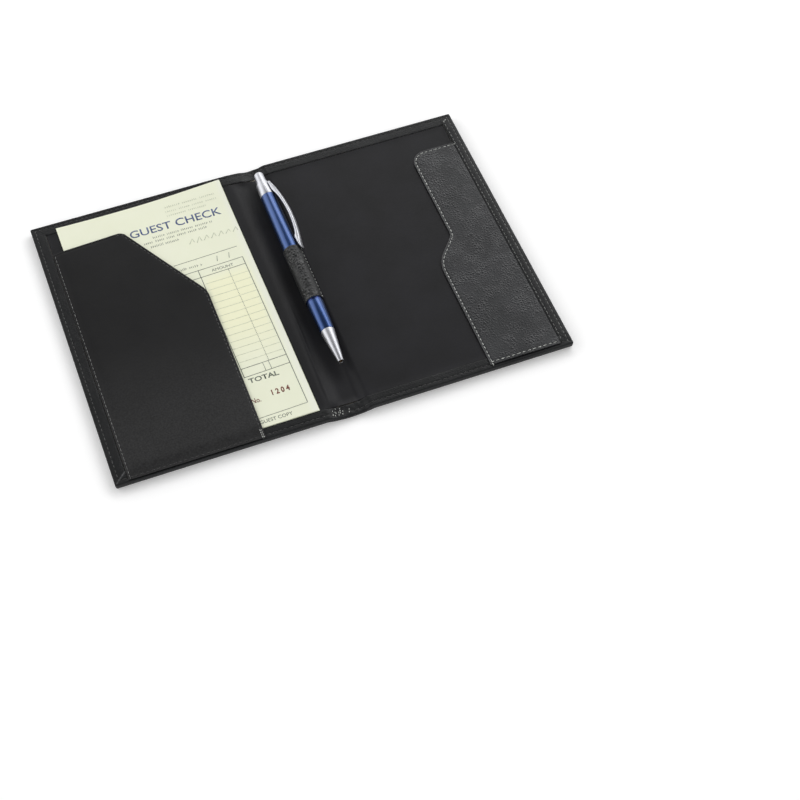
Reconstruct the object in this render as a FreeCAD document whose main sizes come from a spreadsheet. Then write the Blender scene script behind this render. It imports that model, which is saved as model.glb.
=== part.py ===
"""Guest check presenter, lying open and flat: padded cover, spine, pockets, pen loop, pen and check.

Millimetres. X runs across the open presenter, Y from its bottom edge to its top edge, Z up.
The origin is under the middle of the spine, on the surface that the presenter lies on.
The back cover lies on the right (+X) and the front cover on the left (-X).
"""
import FreeCAD
import Part
import Sketcher

import math
import os
from types import SimpleNamespace

# Driving sizes
SIZES = {
    # Cover: each panel runs from its fold line to its free edge
    "panel_length": 182.0,
    "panel_width": 118.3,
    "spine_width": 20.4,
    "skin_thickness": 0.6,
    "foam_thickness": 1.5,
    "foam_edge_thickness": 0.3,
    "board_thickness": 1.4,
    "lining_thickness": 0.3,
    "hem_width": 6.8,
    "panel_corner_radius": 2.0,
    "shoulder_width": 9.0,
    "gutter_width": 1.15,
    # Gaps: between skins at a fold, between glued layers, between lining edges and the fold
    "fold_gap": 0.05,
    "glue_gap": 0.05,
    "lining_fold_gap": 0.35,
    "hem_fold_gap": 0.65,
    # Spine
    "stiffener_width": 12.0,
    "stiffener_thickness": 0.5,
    "lining_step_run": 0.5,
    # Front pocket, holding the check
    "front_pocket_width": 74.3,
    "front_pocket_crest_width": 41.0,
    "front_pocket_length": 160.0,
    "front_pocket_knee_length": 104.0,
    "front_pocket_crest_radius": 5.0,
    "front_pocket_knee_radius": 14.0,
    "pocket_thickness": 0.6,
    "pocket_seam_width": 1.0,
    "pocket_edge_inset": 1.5,
    "paper_room": 0.55,
    # Back pocket, with its curved edge
    "back_pocket_top_width": 27.6,
    "back_pocket_length": 158.0,
    "back_pocket_corner_radius": 9.0,
    "back_pocket_waist_length": 96.0,
    "back_pocket_waist_turn": 40.0,
    "back_pocket_waist_radius": 7.0,
    "back_pocket_waist_run": 11.4,
    "back_pocket_hollow_radius": 20.0,
    # Check
    "check_width": 98.0,
    "check_length": 173.0,
    "check_sheet_thickness": 0.2,
    "check_sheet_gap": 0.02,
    "check_side_room": 7.6,
    "check_foot_gap": 0.3,
    "check_tilt": 0.4,
    # Pen, from its tip to its button
    "pen_offset": 5.1,
    "pen_tip_place": 60.3,
    "cone_length": 21.5,
    "cone_tip_radius": 1.6,
    "cone_base_radius": 3.95,
    "lower_barrel_length": 20.5,
    "lower_barrel_foot_radius": 4.05,
    "ring_length": 1.4,
    "ring_depth": 0.25,
    "barrel_radius": 4.75,
    "upper_barrel_length": 81.3,
    "upper_barrel_taper_length": 45.0,
    "upper_barrel_top_radius": 4.35,
    "collar_length": 10.1,
    "collar_foot_radius": 4.25,
    "collar_top_radius": 3.8,
    "button_length": 8.7,
    "button_radius": 3.1,
    "button_crown_radius": 2.8,
    "button_crown_rounding": 1.1,
    "button_play": 0.08,
    "click_travel": 3.0,
    "click_stop_gap": 0.3,
    "refill_radius": 1.5,
    "refill_play": 0.25,
    "refill_start": 10.6,
    "refill_tip_radius": 1.15,
    "refill_tip_play": 0.15,
    "refill_tip_taper": 2.4,
    "ball_radius": 0.4,
    "ball_recess": 0.2,
    # Clip, turned up beside the pen
    "clip_turn": 30.0,
    "clip_width": 3.6,
    "clip_gap": 0.12,
    "clip_top_drop": 1.0,
    "clip_root_length": 7.0,
    "clip_root_depth": 1.1,
    "clip_toe_overlap": 3.8,
    "clip_shoulder_reach": 7.25,
    "clip_shoulder_rise": 4.1,
    "clip_foot_reach": 6.9,
    "clip_loop_gap": 0.25,
    "clip_toe_rise": 0.6,
    "clip_pad_rise": 8.6,
    "clip_pad_root_rise": 11.6,
    "clip_pad_root_reach": 6.25,
    "clip_outer_bow": 3.15,
    "clip_inner_bow": 2.4,
    # Pen loop
    "loop_length": 39.7,
    "loop_thickness": 0.5,
    "loop_play": 0.1,
    "loop_lift": 0.3,
    "loop_seam_offset": 2.9,
    "loop_bead_gap": 0.05,
    "loop_anchor_width": 2.0,
    "loop_anchor_margin": 0.5,
    "loop_anchor_recess": 0.05,
    # Cutting bodies run this far past what they cut
    "overrun": 1.0,
}

# Corners of a drawn-in side are rounder by this share of how far they are drawn in
CORNER_GROWTH_SHARE = 0.6
# Steps of the quarter ellipse along which a padded side is drawn in
SHOULDER_STEPS = 4
QUARTER_TURN = 90.0
FULL_TURN = 360.0

SHEET_NAME = "Sizes"


class Measure:
    """A size that carries both its number and the sheet expression that gives it."""

    def __init__(self, value, text):
        self.value = value
        self.text = text

    def __add__(self, other):
        other = as_measure(other)
        return Measure(self.value + other.value, f"({self.text} + {other.text})")

    def __sub__(self, other):
        other = as_measure(other)
        return Measure(self.value - other.value, f"({self.text} - {other.text})")

    def __mul__(self, other):
        other = as_measure(other)
        return Measure(self.value * other.value, f"({self.text} * {other.text})")

    def __truediv__(self, other):
        other = as_measure(other)
        return Measure(self.value / other.value, f"({self.text} / {other.text})")

    def __neg__(self):
        return Measure(-self.value, f"(0 - {self.text})")


def as_measure(item):
    if isinstance(item, Measure):
        return item
    return Measure(float(item), repr(float(item)))


def sine(angle):
    angle = as_measure(angle)
    return Measure(math.sin(math.radians(angle.value)), f"sin({angle.text})")


def cosine(angle):
    angle = as_measure(angle)
    return Measure(math.cos(math.radians(angle.value)), f"cos({angle.text})")


def square_root(item):
    return Measure(math.sqrt(item.value), f"sqrt({item.text})")


ZERO = as_measure(0)

doc = FreeCAD.newDocument("Presenter")


def make_sheet():
    sheet = doc.addObject("Spreadsheet::Sheet", SHEET_NAME)
    for row, (name, value) in enumerate(SIZES.items(), start=1):
        sheet.set(f"A{row}", name)
        sheet.set(f"B{row}", str(value))
        sheet.setAlias(f"B{row}", name)
    doc.recompute()
    return sheet


make_sheet()
s = SimpleNamespace(**{name: Measure(value, f"{SHEET_NAME}.{name}") for name, value in SIZES.items()})

# Sub-parts in the order in which they are written out
SUB_PARTS = []


def keep(item, label):
    item.Label = label
    SUB_PARTS.append(item)
    return item


# Helpers that bind shapes to the sheet

def bind(item, prop, measure):
    item.setExpression(prop, as_measure(measure).text)


def place(item, x, y, z):
    bind(item, "Placement.Base.x", x)
    bind(item, "Placement.Base.y", y)
    bind(item, "Placement.Base.z", z)


def block(name, x0, x1, y0, y1, z0, z1):
    box = doc.addObject("Part::Box", name)
    bind(box, "Length", x1 - x0)
    bind(box, "Width", y1 - y0)
    bind(box, "Height", z1 - z0)
    place(box, x0, y0, z0)
    return box


def cut(name, base, tool):
    item = doc.addObject("Part::Cut", name)
    item.Base = base
    item.Tool = tool
    return item


def fuse(name, items):
    item = doc.addObject("Part::MultiFuse", name)
    item.Shapes = items
    item.Refine = True
    return item


def mirrored(name, source):
    item = doc.addObject("Part::Mirroring", name)
    item.Source = source
    item.Normal = FreeCAD.Vector(1, 0, 0)
    return item


def new_body(name):
    return doc.addObject("PartDesign::Body", name)


def plane_sketch(body, name, role, offset=ZERO):
    """A sketch on one of the body's origin planes, moved along the plane's normal."""
    sketch = body.newObject("Sketcher::SketchObject", name)
    plane = [item for item in body.Origin.OriginFeatures if item.Role == role][0]
    sketch.AttachmentSupport = [(plane, "")]
    sketch.MapMode = "FlatFace"
    bind(sketch, "AttachmentOffset.Base.z", offset)
    return sketch


def add_value(sketch, constraint, measure):
    index = sketch.addConstraint(constraint)
    sketch.setExpression(f"Constraints[{index}]", measure.text)


def arc_centre(start, end, radius, side):
    middle = (start + end) / 2
    half = (end - start) / 2
    rise = math.sqrt(max(radius ** 2 - half.Length ** 2, 0))
    left = FreeCAD.Vector(-half.y, half.x, 0).normalize()
    return middle + left * (rise * side)


def add_side(sketch, start, end, bend):
    """Adds a straight or bent side and returns its number and which ends are its start and end."""
    if bend is None:
        return sketch.addGeometry(Part.LineSegment(start, end), False), 1, 2
    radius, side = bend
    centre = arc_centre(start, end, radius.value, side)
    first, last = (start, end) if side > 0 else (end, start)
    from_angle = math.atan2(first.y - centre.y, first.x - centre.x)
    to_angle = math.atan2(last.y - centre.y, last.x - centre.x)
    circle = Part.Circle(centre, FreeCAD.Vector(0, 0, 1), radius.value)
    number = sketch.addGeometry(Part.ArcOfCircle(circle, from_angle, to_angle), False)
    add_value(sketch, Sketcher.Constraint("Radius", number, radius.value), radius)
    return (number, 1, 2) if side > 0 else (number, 2, 1)


def draw_outline(sketch, corners):
    """Closed outline through corners (x, y, bend); bend leads to the next corner.

    bend is None for a straight side, or (radius, side), side 1 with the centre on the left of
    the way and -1 with it on the right.
    """
    points = [FreeCAD.Vector(x.value, y.value, 0) for x, y, _ in corners]
    sides = []
    for number, (_, _, bend) in enumerate(corners):
        following = points[(number + 1) % len(points)]
        sides.append(add_side(sketch, points[number], following, bend))
    for number, (x, y, _) in enumerate(corners):
        side, start, _ = sides[number]
        before, _, before_end = sides[number - 1]
        sketch.addConstraint(Sketcher.Constraint("Coincident", before, before_end, side, start))
        add_value(sketch, Sketcher.Constraint("DistanceX", side, start, x.value), x)
        add_value(sketch, Sketcher.Constraint("DistanceY", side, start, y.value), y)


def corner(x, y, bend=None):
    return as_measure(x), as_measure(y), bend


def pad(body, sketch, length):
    item = body.newObject("PartDesign::Pad", body.Name + "Pad")
    item.Profile = sketch
    bind(item, "Length", length)
    return item


def plate(name, corners, z0, z1):
    """A flat piece with the given outline, seen from above."""
    body = new_body(name)
    sketch = plane_sketch(body, name + "Outline", "XY_Plane", z0)
    draw_outline(sketch, corners)
    pad(body, sketch, z1 - z0)
    return body


def strip_along_y(name, corners, y0, y1):
    """A piece with the given section in X and Z, running along Y."""
    body = new_body(name)
    sketch = plane_sketch(body, name + "Section", "XZ_Plane", -y1)
    draw_outline(sketch, corners)
    pad(body, sketch, y1 - y0)
    return body


def turned(name, corners):
    """A turned piece: corners are (radius, place along the axis), the axis being the body's Z."""
    body = new_body(name)
    sketch = plane_sketch(body, name + "Profile", "XZ_Plane")
    draw_outline(sketch, corners)
    item = body.newObject("PartDesign::Revolution", name + "Turned")
    item.Profile = sketch
    item.ReferenceAxis = (sketch, ["V_Axis"])
    item.Angle = FULL_TURN
    return body


# Heights of the layers in each cover, from the surface up
skin_top = s.skin_thickness
foam_top = skin_top + s.foam_thickness
board_top = foam_top + s.board_thickness
lining_top = board_top + s.lining_thickness
hem_top = board_top + s.skin_thickness
shoulder_rise = s.foam_thickness - s.foam_edge_thickness

# Places across and along the back cover
fold_x = s.spine_width / 2
near_x = fold_x + s.gutter_width
free_x = fold_x + s.panel_width
half_length = s.panel_length / 2
hem_x = free_x - s.hem_width
hem_y = half_length - s.hem_width


def slab_outline(body, name, near, free, half, inset, radius, z):
    """Outline of a cover layer at height z: square at the fold, round at the free corners."""
    sketch = plane_sketch(body, name, "XY_Plane", z)
    side = free - inset
    end = half - inset
    draw_outline(sketch, [
        corner(near, -end),
        corner(side - radius, -end, (radius, 1)),
        corner(side, radius - end),
        corner(side, end - radius, (radius, 1)),
        corner(side - radius, end),
        corner(near, end),
    ])
    return sketch


def padded_slab(name, margin, bottom, top):
    """A padded layer of the back cover, a margin inside the cover's outside.

    Its three free sides are drawn in below, along a quarter of an ellipse.
    """
    body = new_body(name)
    near = near_x + margin
    free = free_x - margin
    half = half_length - margin
    sections = []
    for step in range(SHOULDER_STEPS + 1):
        turn = QUARTER_TURN * step / SHOULDER_STEPS
        inset = s.shoulder_width * (as_measure(1) - sine(turn))
        lift = shoulder_rise * (as_measure(1) - cosine(turn))
        radius = s.panel_corner_radius - margin + inset * CORNER_GROWTH_SHARE
        sections.append(slab_outline(body, f"{name}Level{step}", near, free, half, inset, radius,
                                     bottom + lift))
    doc.recompute()
    loft = body.newObject("PartDesign::AdditiveLoft", name + "Shoulder")
    loft.Profile = sections[0]
    loft.Sections = sections[1:]
    loft.Ruled = True
    doc.recompute()
    pad(body, sections[-1], top - bottom - shoulder_rise)
    return body


# Cover skin: outer sheet, padded outwards, with its hem turned in over the board

def cover_skin():
    outside = padded_slab("SkinOutside", ZERO, ZERO, hem_top)
    cavity = padded_slab("SkinCavity", s.skin_thickness, skin_top, board_top)
    window = block("SkinWindow", near_x - s.overrun, hem_x, -hem_y, hem_y, board_top, hem_top + s.overrun)
    mouth = block("SkinMouth", near_x - s.overrun, near_x + s.skin_thickness, -hem_y, hem_y,
                  skin_top, hem_top)
    openings = fuse("SkinOpenings", [cavity, window, mouth])
    shell = cut("SkinShell", outside, openings)
    gutter = block("SkinGutter", fold_x + s.fold_gap, near_x + s.skin_thickness,
                   -half_length, half_length, ZERO, skin_top)
    return fuse("BackSkin", [shell, gutter])


back_skin = keep(cover_skin(), "back_cover_skin")
keep(mirrored("FrontSkin", back_skin), "front_cover_skin")


# Foam padding, sealed in the skin under the board

back_foam = keep(
    padded_slab("BackFoam", s.skin_thickness + s.glue_gap, skin_top + s.glue_gap, foam_top - s.glue_gap),
    "back_cover_foam")
keep(mirrored("FrontFoam", back_foam), "front_cover_foam")


# Board that stiffens the cover

def cover_board():
    margin = s.skin_thickness + s.glue_gap
    radius = s.panel_corner_radius - margin
    side = free_x - margin
    end = half_length - margin
    return plate("BackBoard", [
        corner(near_x + margin, -end),
        corner(side - radius, -end, (radius, 1)),
        corner(side, radius - end),
        corner(side, end - radius, (radius, 1)),
        corner(side - radius, end),
        corner(near_x + margin, end),
    ], foam_top, board_top)


back_board = keep(cover_board(), "back_cover_board")
keep(mirrored("FrontBoard", back_board), "front_cover_board")


# Lining sheet: covers the board inside the hem and comes down its edge into the gutter

def cover_lining():
    edge = fold_x + s.lining_fold_gap
    far = hem_x - s.glue_gap
    end = hem_y - s.glue_gap
    return strip_along_y("BackLining", [
        corner(edge, skin_top),
        corner(near_x + s.lining_thickness, skin_top),
        corner(near_x + s.lining_thickness, board_top),
        corner(far, board_top),
        corner(far, lining_top),
        corner(near_x, lining_top),
        corner(near_x, skin_top + s.lining_thickness),
        corner(edge, skin_top + s.lining_thickness),
    ], -end, end)


back_lining = keep(cover_lining(), "back_cover_lining")
keep(mirrored("FrontLining", back_lining), "front_cover_lining")


# Spine: skin with its hems, a stiffener, and the lining over it

stiffener_top = skin_top + s.stiffener_thickness
step_x = s.stiffener_width / 2 + s.glue_gap


def bent_strip(name, edge_x, thickness, y0, y1):
    """A sheet that lies on the spine's skin near both folds and over the stiffener between."""
    foot_x = step_x + s.lining_step_run
    return strip_along_y(name, [
        corner(-edge_x, skin_top),
        corner(-foot_x, skin_top),
        corner(-step_x, stiffener_top),
        corner(step_x, stiffener_top),
        corner(foot_x, skin_top),
        corner(edge_x, skin_top),
        corner(edge_x, skin_top + thickness),
        corner(foot_x, skin_top + thickness),
        corner(step_x, stiffener_top + thickness),
        corner(-step_x, stiffener_top + thickness),
        corner(-foot_x, skin_top + thickness),
        corner(-edge_x, skin_top + thickness),
    ], y0, y1)


def spine_skin():
    edge = fold_x - s.fold_gap
    sheet = block("SpineSheet", -edge, edge, -half_length, half_length, ZERO, skin_top)
    hem_edge = fold_x - s.hem_fold_gap
    top_hem = bent_strip("SpineTopHem", hem_edge, s.skin_thickness, hem_y, half_length)
    bottom_hem = bent_strip("SpineBottomHem", hem_edge, s.skin_thickness, -half_length, -hem_y)
    wall = half_length - s.skin_thickness
    top_wall = block("SpineTopWall", -step_x, step_x, wall, half_length, skin_top, stiffener_top)
    bottom_wall = block("SpineBottomWall", -step_x, step_x, -half_length, -wall, skin_top, stiffener_top)
    return fuse("SpineSkin", [sheet, top_hem, bottom_hem, top_wall, bottom_wall])


keep(spine_skin(), "spine_skin")

stiffener_end = half_length - s.skin_thickness - s.glue_gap
keep(block("SpineStiffener", -s.stiffener_width / 2, s.stiffener_width / 2,
           -stiffener_end, stiffener_end, skin_top, stiffener_top), "spine_stiffener")

# Where the loop's two ends go through the spine lining
loop_foot_y = s.cone_length + s.lower_barrel_length + s.ring_length - s.pen_tip_place
loop_head_y = loop_foot_y + s.loop_length
spine_lining_top = stiffener_top + s.lining_thickness


def spine_lining():
    end = hem_y - s.glue_gap
    sheet = bent_strip("SpineSheetLining", fold_x - s.lining_fold_gap, s.lining_thickness, -end, end)
    slit = block("LoopSlit",
                 s.loop_seam_offset - s.loop_anchor_width / 2 - s.glue_gap,
                 s.loop_seam_offset + s.loop_anchor_width / 2 + s.glue_gap,
                 loop_foot_y - s.loop_anchor_margin - s.glue_gap,
                 loop_head_y + s.loop_anchor_margin + s.glue_gap,
                 stiffener_top, spine_lining_top + s.overrun)
    return cut("SpineLining", sheet, slit)


keep(spine_lining(), "spine_lining")

keep(block("LoopAnchor",
           s.loop_seam_offset - s.loop_anchor_width / 2, s.loop_seam_offset + s.loop_anchor_width / 2,
           loop_foot_y - s.loop_anchor_margin, loop_head_y + s.loop_anchor_margin,
           stiffener_top, spine_lining_top - s.loop_anchor_recess), "pen_loop_anchor")


# Front pocket: flap sewn along the free edge and the bottom, open at the top and towards the spine

def front_pocket():
    left = s.glue_gap - hem_x
    right = s.front_pocket_width - hem_x
    crest = s.front_pocket_crest_width - hem_x
    bottom = s.pocket_edge_inset - half_length
    top = s.front_pocket_length - half_length
    knee = s.front_pocket_knee_length - half_length
    slope_run = right - crest
    slope_fall = top - knee
    slope = square_root(slope_run * slope_run + slope_fall * slope_fall)
    # Tangent lengths of the two rounded corners, from half the turn at each
    crest_tangent = s.front_pocket_crest_radius * (slope - slope_run) / slope_fall
    knee_tangent = s.front_pocket_knee_radius * (slope - slope_fall) / slope_run
    along_x = slope_run / slope
    along_y = slope_fall / slope
    flap_bottom = hem_top + s.paper_room
    flap_top = flap_bottom + s.pocket_thickness
    flap = plate("FrontFlap", [
        corner(left, bottom),
        corner(right, bottom),
        corner(right, knee - knee_tangent, (s.front_pocket_knee_radius, 1)),
        corner(right - along_x * knee_tangent, knee + along_y * knee_tangent),
        corner(crest + along_x * crest_tangent, top - along_y * crest_tangent,
               (s.front_pocket_crest_radius, 1)),
        corner(crest - crest_tangent, top),
        corner(left, top),
    ], flap_bottom, flap_top)
    side_seam = block("FrontSideSeam", left, left + s.pocket_seam_width,
                      s.glue_gap - hem_y, top, lining_top + s.glue_gap, flap_bottom)
    foot_seam = block("FrontFootSeam", left, right, bottom, -hem_y - s.glue_gap,
                      hem_top + s.glue_gap, flap_bottom)
    return fuse("FrontPocket", [flap, side_seam, foot_seam])


keep(front_pocket(), "front_pocket")


# Back pocket: flap sewn along the free edge and the bottom, its open edge drawn out below the waist

def back_pocket():
    right = hem_x - s.glue_gap
    left = hem_x - s.back_pocket_top_width
    bottom = s.pocket_edge_inset - half_length
    top = s.back_pocket_length - half_length
    waist = s.back_pocket_waist_length - half_length
    radius = s.back_pocket_corner_radius
    turn = s.back_pocket_waist_turn
    bulge = s.back_pocket_waist_radius
    hollow = s.back_pocket_hollow_radius
    first_x = left - bulge * (as_measure(1) - cosine(turn))
    first_y = waist - bulge * sine(turn)
    second_x = first_x - s.back_pocket_waist_run * sine(turn)
    second_y = first_y - s.back_pocket_waist_run * cosine(turn)
    third_x = second_x - hollow * (as_measure(1) - cosine(turn))
    third_y = second_y - hollow * sine(turn)
    flap_bottom = hem_top + s.glue_gap
    flap_top = flap_bottom + s.pocket_thickness
    flap = plate("BackFlap", [
        corner(right, top),
        corner(left + radius, top, (radius, 1)),
        corner(left, top - radius),
        corner(left, waist, (bulge, -1)),
        corner(first_x, first_y),
        corner(second_x, second_y, (hollow, 1)),
        corner(third_x, third_y),
        corner(third_x, bottom),
        corner(right, bottom),
    ], flap_bottom, flap_top)
    seam = block("BackSideSeam", right - s.pocket_seam_width, right,
                 s.glue_gap - hem_y, top, lining_top + s.glue_gap, flap_bottom)
    return fuse("BackPocket", [flap, seam])


keep(back_pocket(), "back_pocket")


# Check: a top copy and an under copy, standing in the front pocket

def check_sheet(name, level):
    sheet = doc.addObject("Part::Box", name)
    bind(sheet, "Length", s.check_width)
    bind(sheet, "Width", s.check_length)
    bind(sheet, "Height", s.check_sheet_thickness)
    place(sheet, s.check_side_room - hem_x, s.check_foot_gap - hem_y,
          hem_top + s.glue_gap + (s.check_sheet_thickness + s.check_sheet_gap) * level)
    bind(sheet, "Placement.Rotation.Angle", s.check_tilt)
    return sheet


keep(check_sheet("UnderCopy", 0), "check_under_copy")
keep(check_sheet("TopCopy", 1), "check_top_copy")


# Pen loop: a strap round the pen, its ends sewn together in a bead at the spine lining

loop_bore_radius = s.barrel_radius + s.loop_play
loop_radius = loop_bore_radius + s.loop_thickness
pen_height = spine_lining_top + s.loop_lift + loop_radius
bead_height = spine_lining_top + s.loop_bead_gap + s.loop_thickness


# Turns a piece's own Z to point along Y
LAID_DOWN = FreeCAD.Rotation(FreeCAD.Vector(1, 0, 0), -QUARTER_TURN)


def rod_along_y(name, radius, x, z, y0, y1):
    rod = doc.addObject("Part::Cylinder", name)
    bind(rod, "Radius", radius)
    bind(rod, "Height", y1 - y0)
    rod.Placement = FreeCAD.Placement(FreeCAD.Vector(), LAID_DOWN)
    place(rod, x, y0, z)
    return rod


def pen_loop():
    strap = rod_along_y("LoopStrap", loop_radius, s.pen_offset, pen_height, loop_foot_y, loop_head_y)
    bead = rod_along_y("LoopBead", s.loop_thickness, s.loop_seam_offset, bead_height,
                       loop_foot_y, loop_head_y)
    bore = rod_along_y("LoopBore", loop_bore_radius, s.pen_offset, pen_height,
                       loop_foot_y - s.overrun, loop_head_y + s.overrun)
    return cut("PenLoop", fuse("LoopOutside", [strap, bead]), bore)


keep(pen_loop(), "pen_loop")


# Pen: places along its axis, from the tip

lower_barrel_foot = s.cone_length
ring_foot = lower_barrel_foot + s.lower_barrel_length
upper_barrel_foot = ring_foot + s.ring_length
collar_foot = upper_barrel_foot + s.upper_barrel_length
collar_top = collar_foot + s.collar_length
button_top = collar_top + s.button_length
button_foot = collar_foot + s.click_travel + s.click_stop_gap
bore_radius = s.refill_radius + s.refill_play
tip_bore_radius = s.refill_tip_radius + s.refill_tip_play
tip_bore_end = s.refill_start - s.click_travel - s.click_stop_gap


def on_pen(body):
    """Lays a piece along the pen's axis, turned so that the clip's side faces up and out."""
    turn = FreeCAD.Rotation(FreeCAD.Vector(0, 1, 0), -s.clip_turn.value)
    body.Placement = FreeCAD.Placement(FreeCAD.Vector(), turn.multiply(LAID_DOWN))
    place(body, s.pen_offset, -s.pen_tip_place, pen_height)
    return body


def tube(name, profile, foot, top, bore):
    """A turned piece with a straight bore; profile gives its outside from foot to top."""
    return turned(name, [corner(bore, foot)] + profile + [corner(bore, top)])


keep(on_pen(turned("Cone", [
    corner(tip_bore_radius, 0),
    corner(s.cone_tip_radius, 0),
    corner(s.cone_base_radius, lower_barrel_foot),
    corner(bore_radius, lower_barrel_foot),
    corner(bore_radius, tip_bore_end),
    corner(tip_bore_radius, tip_bore_end),
])), "pen_cone")

keep(on_pen(tube("LowerBarrel", [
    corner(s.lower_barrel_foot_radius, lower_barrel_foot),
    corner(s.barrel_radius, ring_foot),
], lower_barrel_foot, ring_foot, bore_radius)), "pen_lower_barrel")

ring_radius = s.barrel_radius - s.ring_depth
keep(on_pen(tube("Ring", [
    corner(ring_radius, ring_foot),
    corner(ring_radius, upper_barrel_foot),
], ring_foot, upper_barrel_foot, bore_radius)), "pen_ring")

keep(on_pen(tube("UpperBarrel", [
    corner(s.barrel_radius, upper_barrel_foot),
    corner(s.barrel_radius, collar_foot - s.upper_barrel_taper_length),
    corner(s.upper_barrel_top_radius, collar_foot),
], upper_barrel_foot, collar_foot, bore_radius)), "pen_upper_barrel")

keep(on_pen(tube("Collar", [
    corner(s.collar_foot_radius, collar_foot),
    corner(s.collar_top_radius, collar_top),
], collar_foot, collar_top, s.button_radius + s.button_play)), "pen_collar")


def bow_radius(chord, bow):
    """Radius of an arc that stands off its chord by the bow."""
    half = chord / 2
    return (half * half + bow * bow) / (bow * 2)


def pen_clip():
    """A bowed clip in the plane of the pen's axis; places are (reach from the axis, along it)."""
    top = collar_top - s.clip_top_drop
    root = top - s.clip_root_length
    # The toe reaches over the loop's head
    loop_head = loop_head_y + s.pen_tip_place
    foot = loop_head - s.clip_toe_overlap
    taper = (s.collar_foot_radius - s.collar_top_radius) / s.collar_length
    top_reach = s.collar_top_radius + taper * s.clip_top_drop + s.clip_gap
    root_reach = top_reach + taper * s.clip_root_length
    shoulder = foot + s.clip_shoulder_rise
    outer_start = top_reach + s.clip_root_depth
    outer_chord = square_root((top - shoulder) * (top - shoulder)
                              + (s.clip_shoulder_reach - outer_start)
                              * (s.clip_shoulder_reach - outer_start))
    pad_root = foot + s.clip_pad_root_rise
    inner_chord = square_root((root - pad_root) * (root - pad_root)
                              + (s.clip_pad_root_reach - root_reach)
                              * (s.clip_pad_root_reach - root_reach))
    outer_radius = bow_radius(outer_chord, s.clip_outer_bow)
    inner_radius = bow_radius(inner_chord, s.clip_inner_bow)
    pad_reach = s.barrel_radius + s.clip_gap
    pad_place = foot + s.clip_pad_rise
    toe_place = foot + s.clip_toe_rise
    # The underside flares from the pad to the toe, clear of the loop's head
    flare = (loop_radius + s.clip_loop_gap - pad_reach) / (pad_place - loop_head)
    toe_reach = pad_reach + flare * (pad_place - toe_place)
    body = new_body("Clip")
    sketch = plane_sketch(body, "ClipSide", "XZ_Plane", -s.clip_width / 2)
    draw_outline(sketch, [
        corner(top_reach, top),
        corner(root_reach, root, (inner_radius, -1)),
        corner(s.clip_pad_root_reach, pad_root),
        corner(pad_reach, pad_place),
        corner(toe_reach, toe_place),
        corner(s.clip_foot_reach, foot),
        corner(s.clip_shoulder_reach, shoulder, (outer_radius, 1)),
        corner(outer_start, top),
    ])
    pad(body, sketch, s.clip_width)
    return body


keep(on_pen(pen_clip()), "pen_clip")


def pen_button():
    crown = s.button_crown_radius
    rounding = s.button_crown_rounding
    return turned("Button", [
        corner(0, button_foot),
        corner(s.button_radius, button_foot),
        corner(s.button_radius, collar_top),
        corner(crown, button_top - rounding, (rounding, 1)),
        corner(crown - rounding, button_top),
        corner(0, button_top),
    ])


keep(on_pen(pen_button()), "pen_button")

keep(on_pen(turned("Refill", [
    corner(0, s.refill_start),
    corner(s.refill_radius, s.refill_start),
    corner(s.refill_radius, button_foot),
    corner(0, button_foot),
])), "pen_refill")

keep(on_pen(turned("RefillTip", [
    corner(0, s.ball_recess),
    corner(s.ball_radius, s.ball_recess),
    corner(s.refill_tip_radius, s.ball_recess + s.refill_tip_taper),
    corner(s.refill_tip_radius, s.refill_start),
    corner(0, s.refill_start),
])), "pen_refill_tip")


# Checks before anything is written

doc.recompute()


def check_document():
    for item in doc.Objects:
        bad = [state for state in item.State if state in ("Invalid", "Error")]
        if bad:
            raise RuntimeError(f"{item.Name} ({item.Label}) is {bad}")
    for item in SUB_PARTS:
        if item.Shape.isNull() or not item.Shape.isValid() or not item.Shape.Solids:
            raise RuntimeError(f"{item.Label} has no valid solid")
        print(f"{item.Label}: {len(item.Shape.Solids)} solid, {item.Shape.Volume:.1f} mm3")


def write_parts():
    os.makedirs("parts", exist_ok=True)
    for item in SUB_PARTS:
        item.Shape.exportStep(f"parts/{item.Label}.step")


check_document()
write_parts()
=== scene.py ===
"""Looks of the guest check presenter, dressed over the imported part.

Sizes are in millimetres and become metres when a mesh is made. X runs across the open presenter,
Y towards its top edge and Z up out of its inside faces.
"""

import math

import bmesh
import bpy
import numpy as np
from mathutils import Matrix, Vector, noise


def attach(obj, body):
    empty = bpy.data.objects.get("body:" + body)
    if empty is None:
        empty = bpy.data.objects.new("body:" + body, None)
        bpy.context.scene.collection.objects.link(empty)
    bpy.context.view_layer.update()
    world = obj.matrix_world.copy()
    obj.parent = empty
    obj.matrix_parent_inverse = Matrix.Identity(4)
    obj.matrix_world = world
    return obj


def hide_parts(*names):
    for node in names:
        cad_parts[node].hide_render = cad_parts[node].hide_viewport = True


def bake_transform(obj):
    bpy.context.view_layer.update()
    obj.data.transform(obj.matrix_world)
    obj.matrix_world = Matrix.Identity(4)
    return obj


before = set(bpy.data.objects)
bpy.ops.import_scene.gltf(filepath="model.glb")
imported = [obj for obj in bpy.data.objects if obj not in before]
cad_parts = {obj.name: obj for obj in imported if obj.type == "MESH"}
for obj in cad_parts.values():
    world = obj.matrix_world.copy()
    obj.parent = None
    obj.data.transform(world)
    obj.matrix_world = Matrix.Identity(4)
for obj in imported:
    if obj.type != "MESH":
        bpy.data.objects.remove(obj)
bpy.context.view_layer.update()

MM = 0.001

# Cover: half of the open presenter's width and length, and the corner's rounding
HALF_WIDTH = 128.5
HALF_LENGTH = 91.0
CORNER = 0.9
HEM_WIDTH = 6.8
HEM_TOP = 4.1
LINING_TOP = 3.8
SPINE_LINING_TOP = 1.4
LINING_SPLIT = 3.4
SKIN_THICKNESS = 0.5
LINING_THICKNESS = 0.26
STITCH_INSET = 2.5

# Pen axis, and the place of its tip
PEN_X = 5.1
PEN_Z = 7.05
PEN_TIP_Y = -60.3
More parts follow.
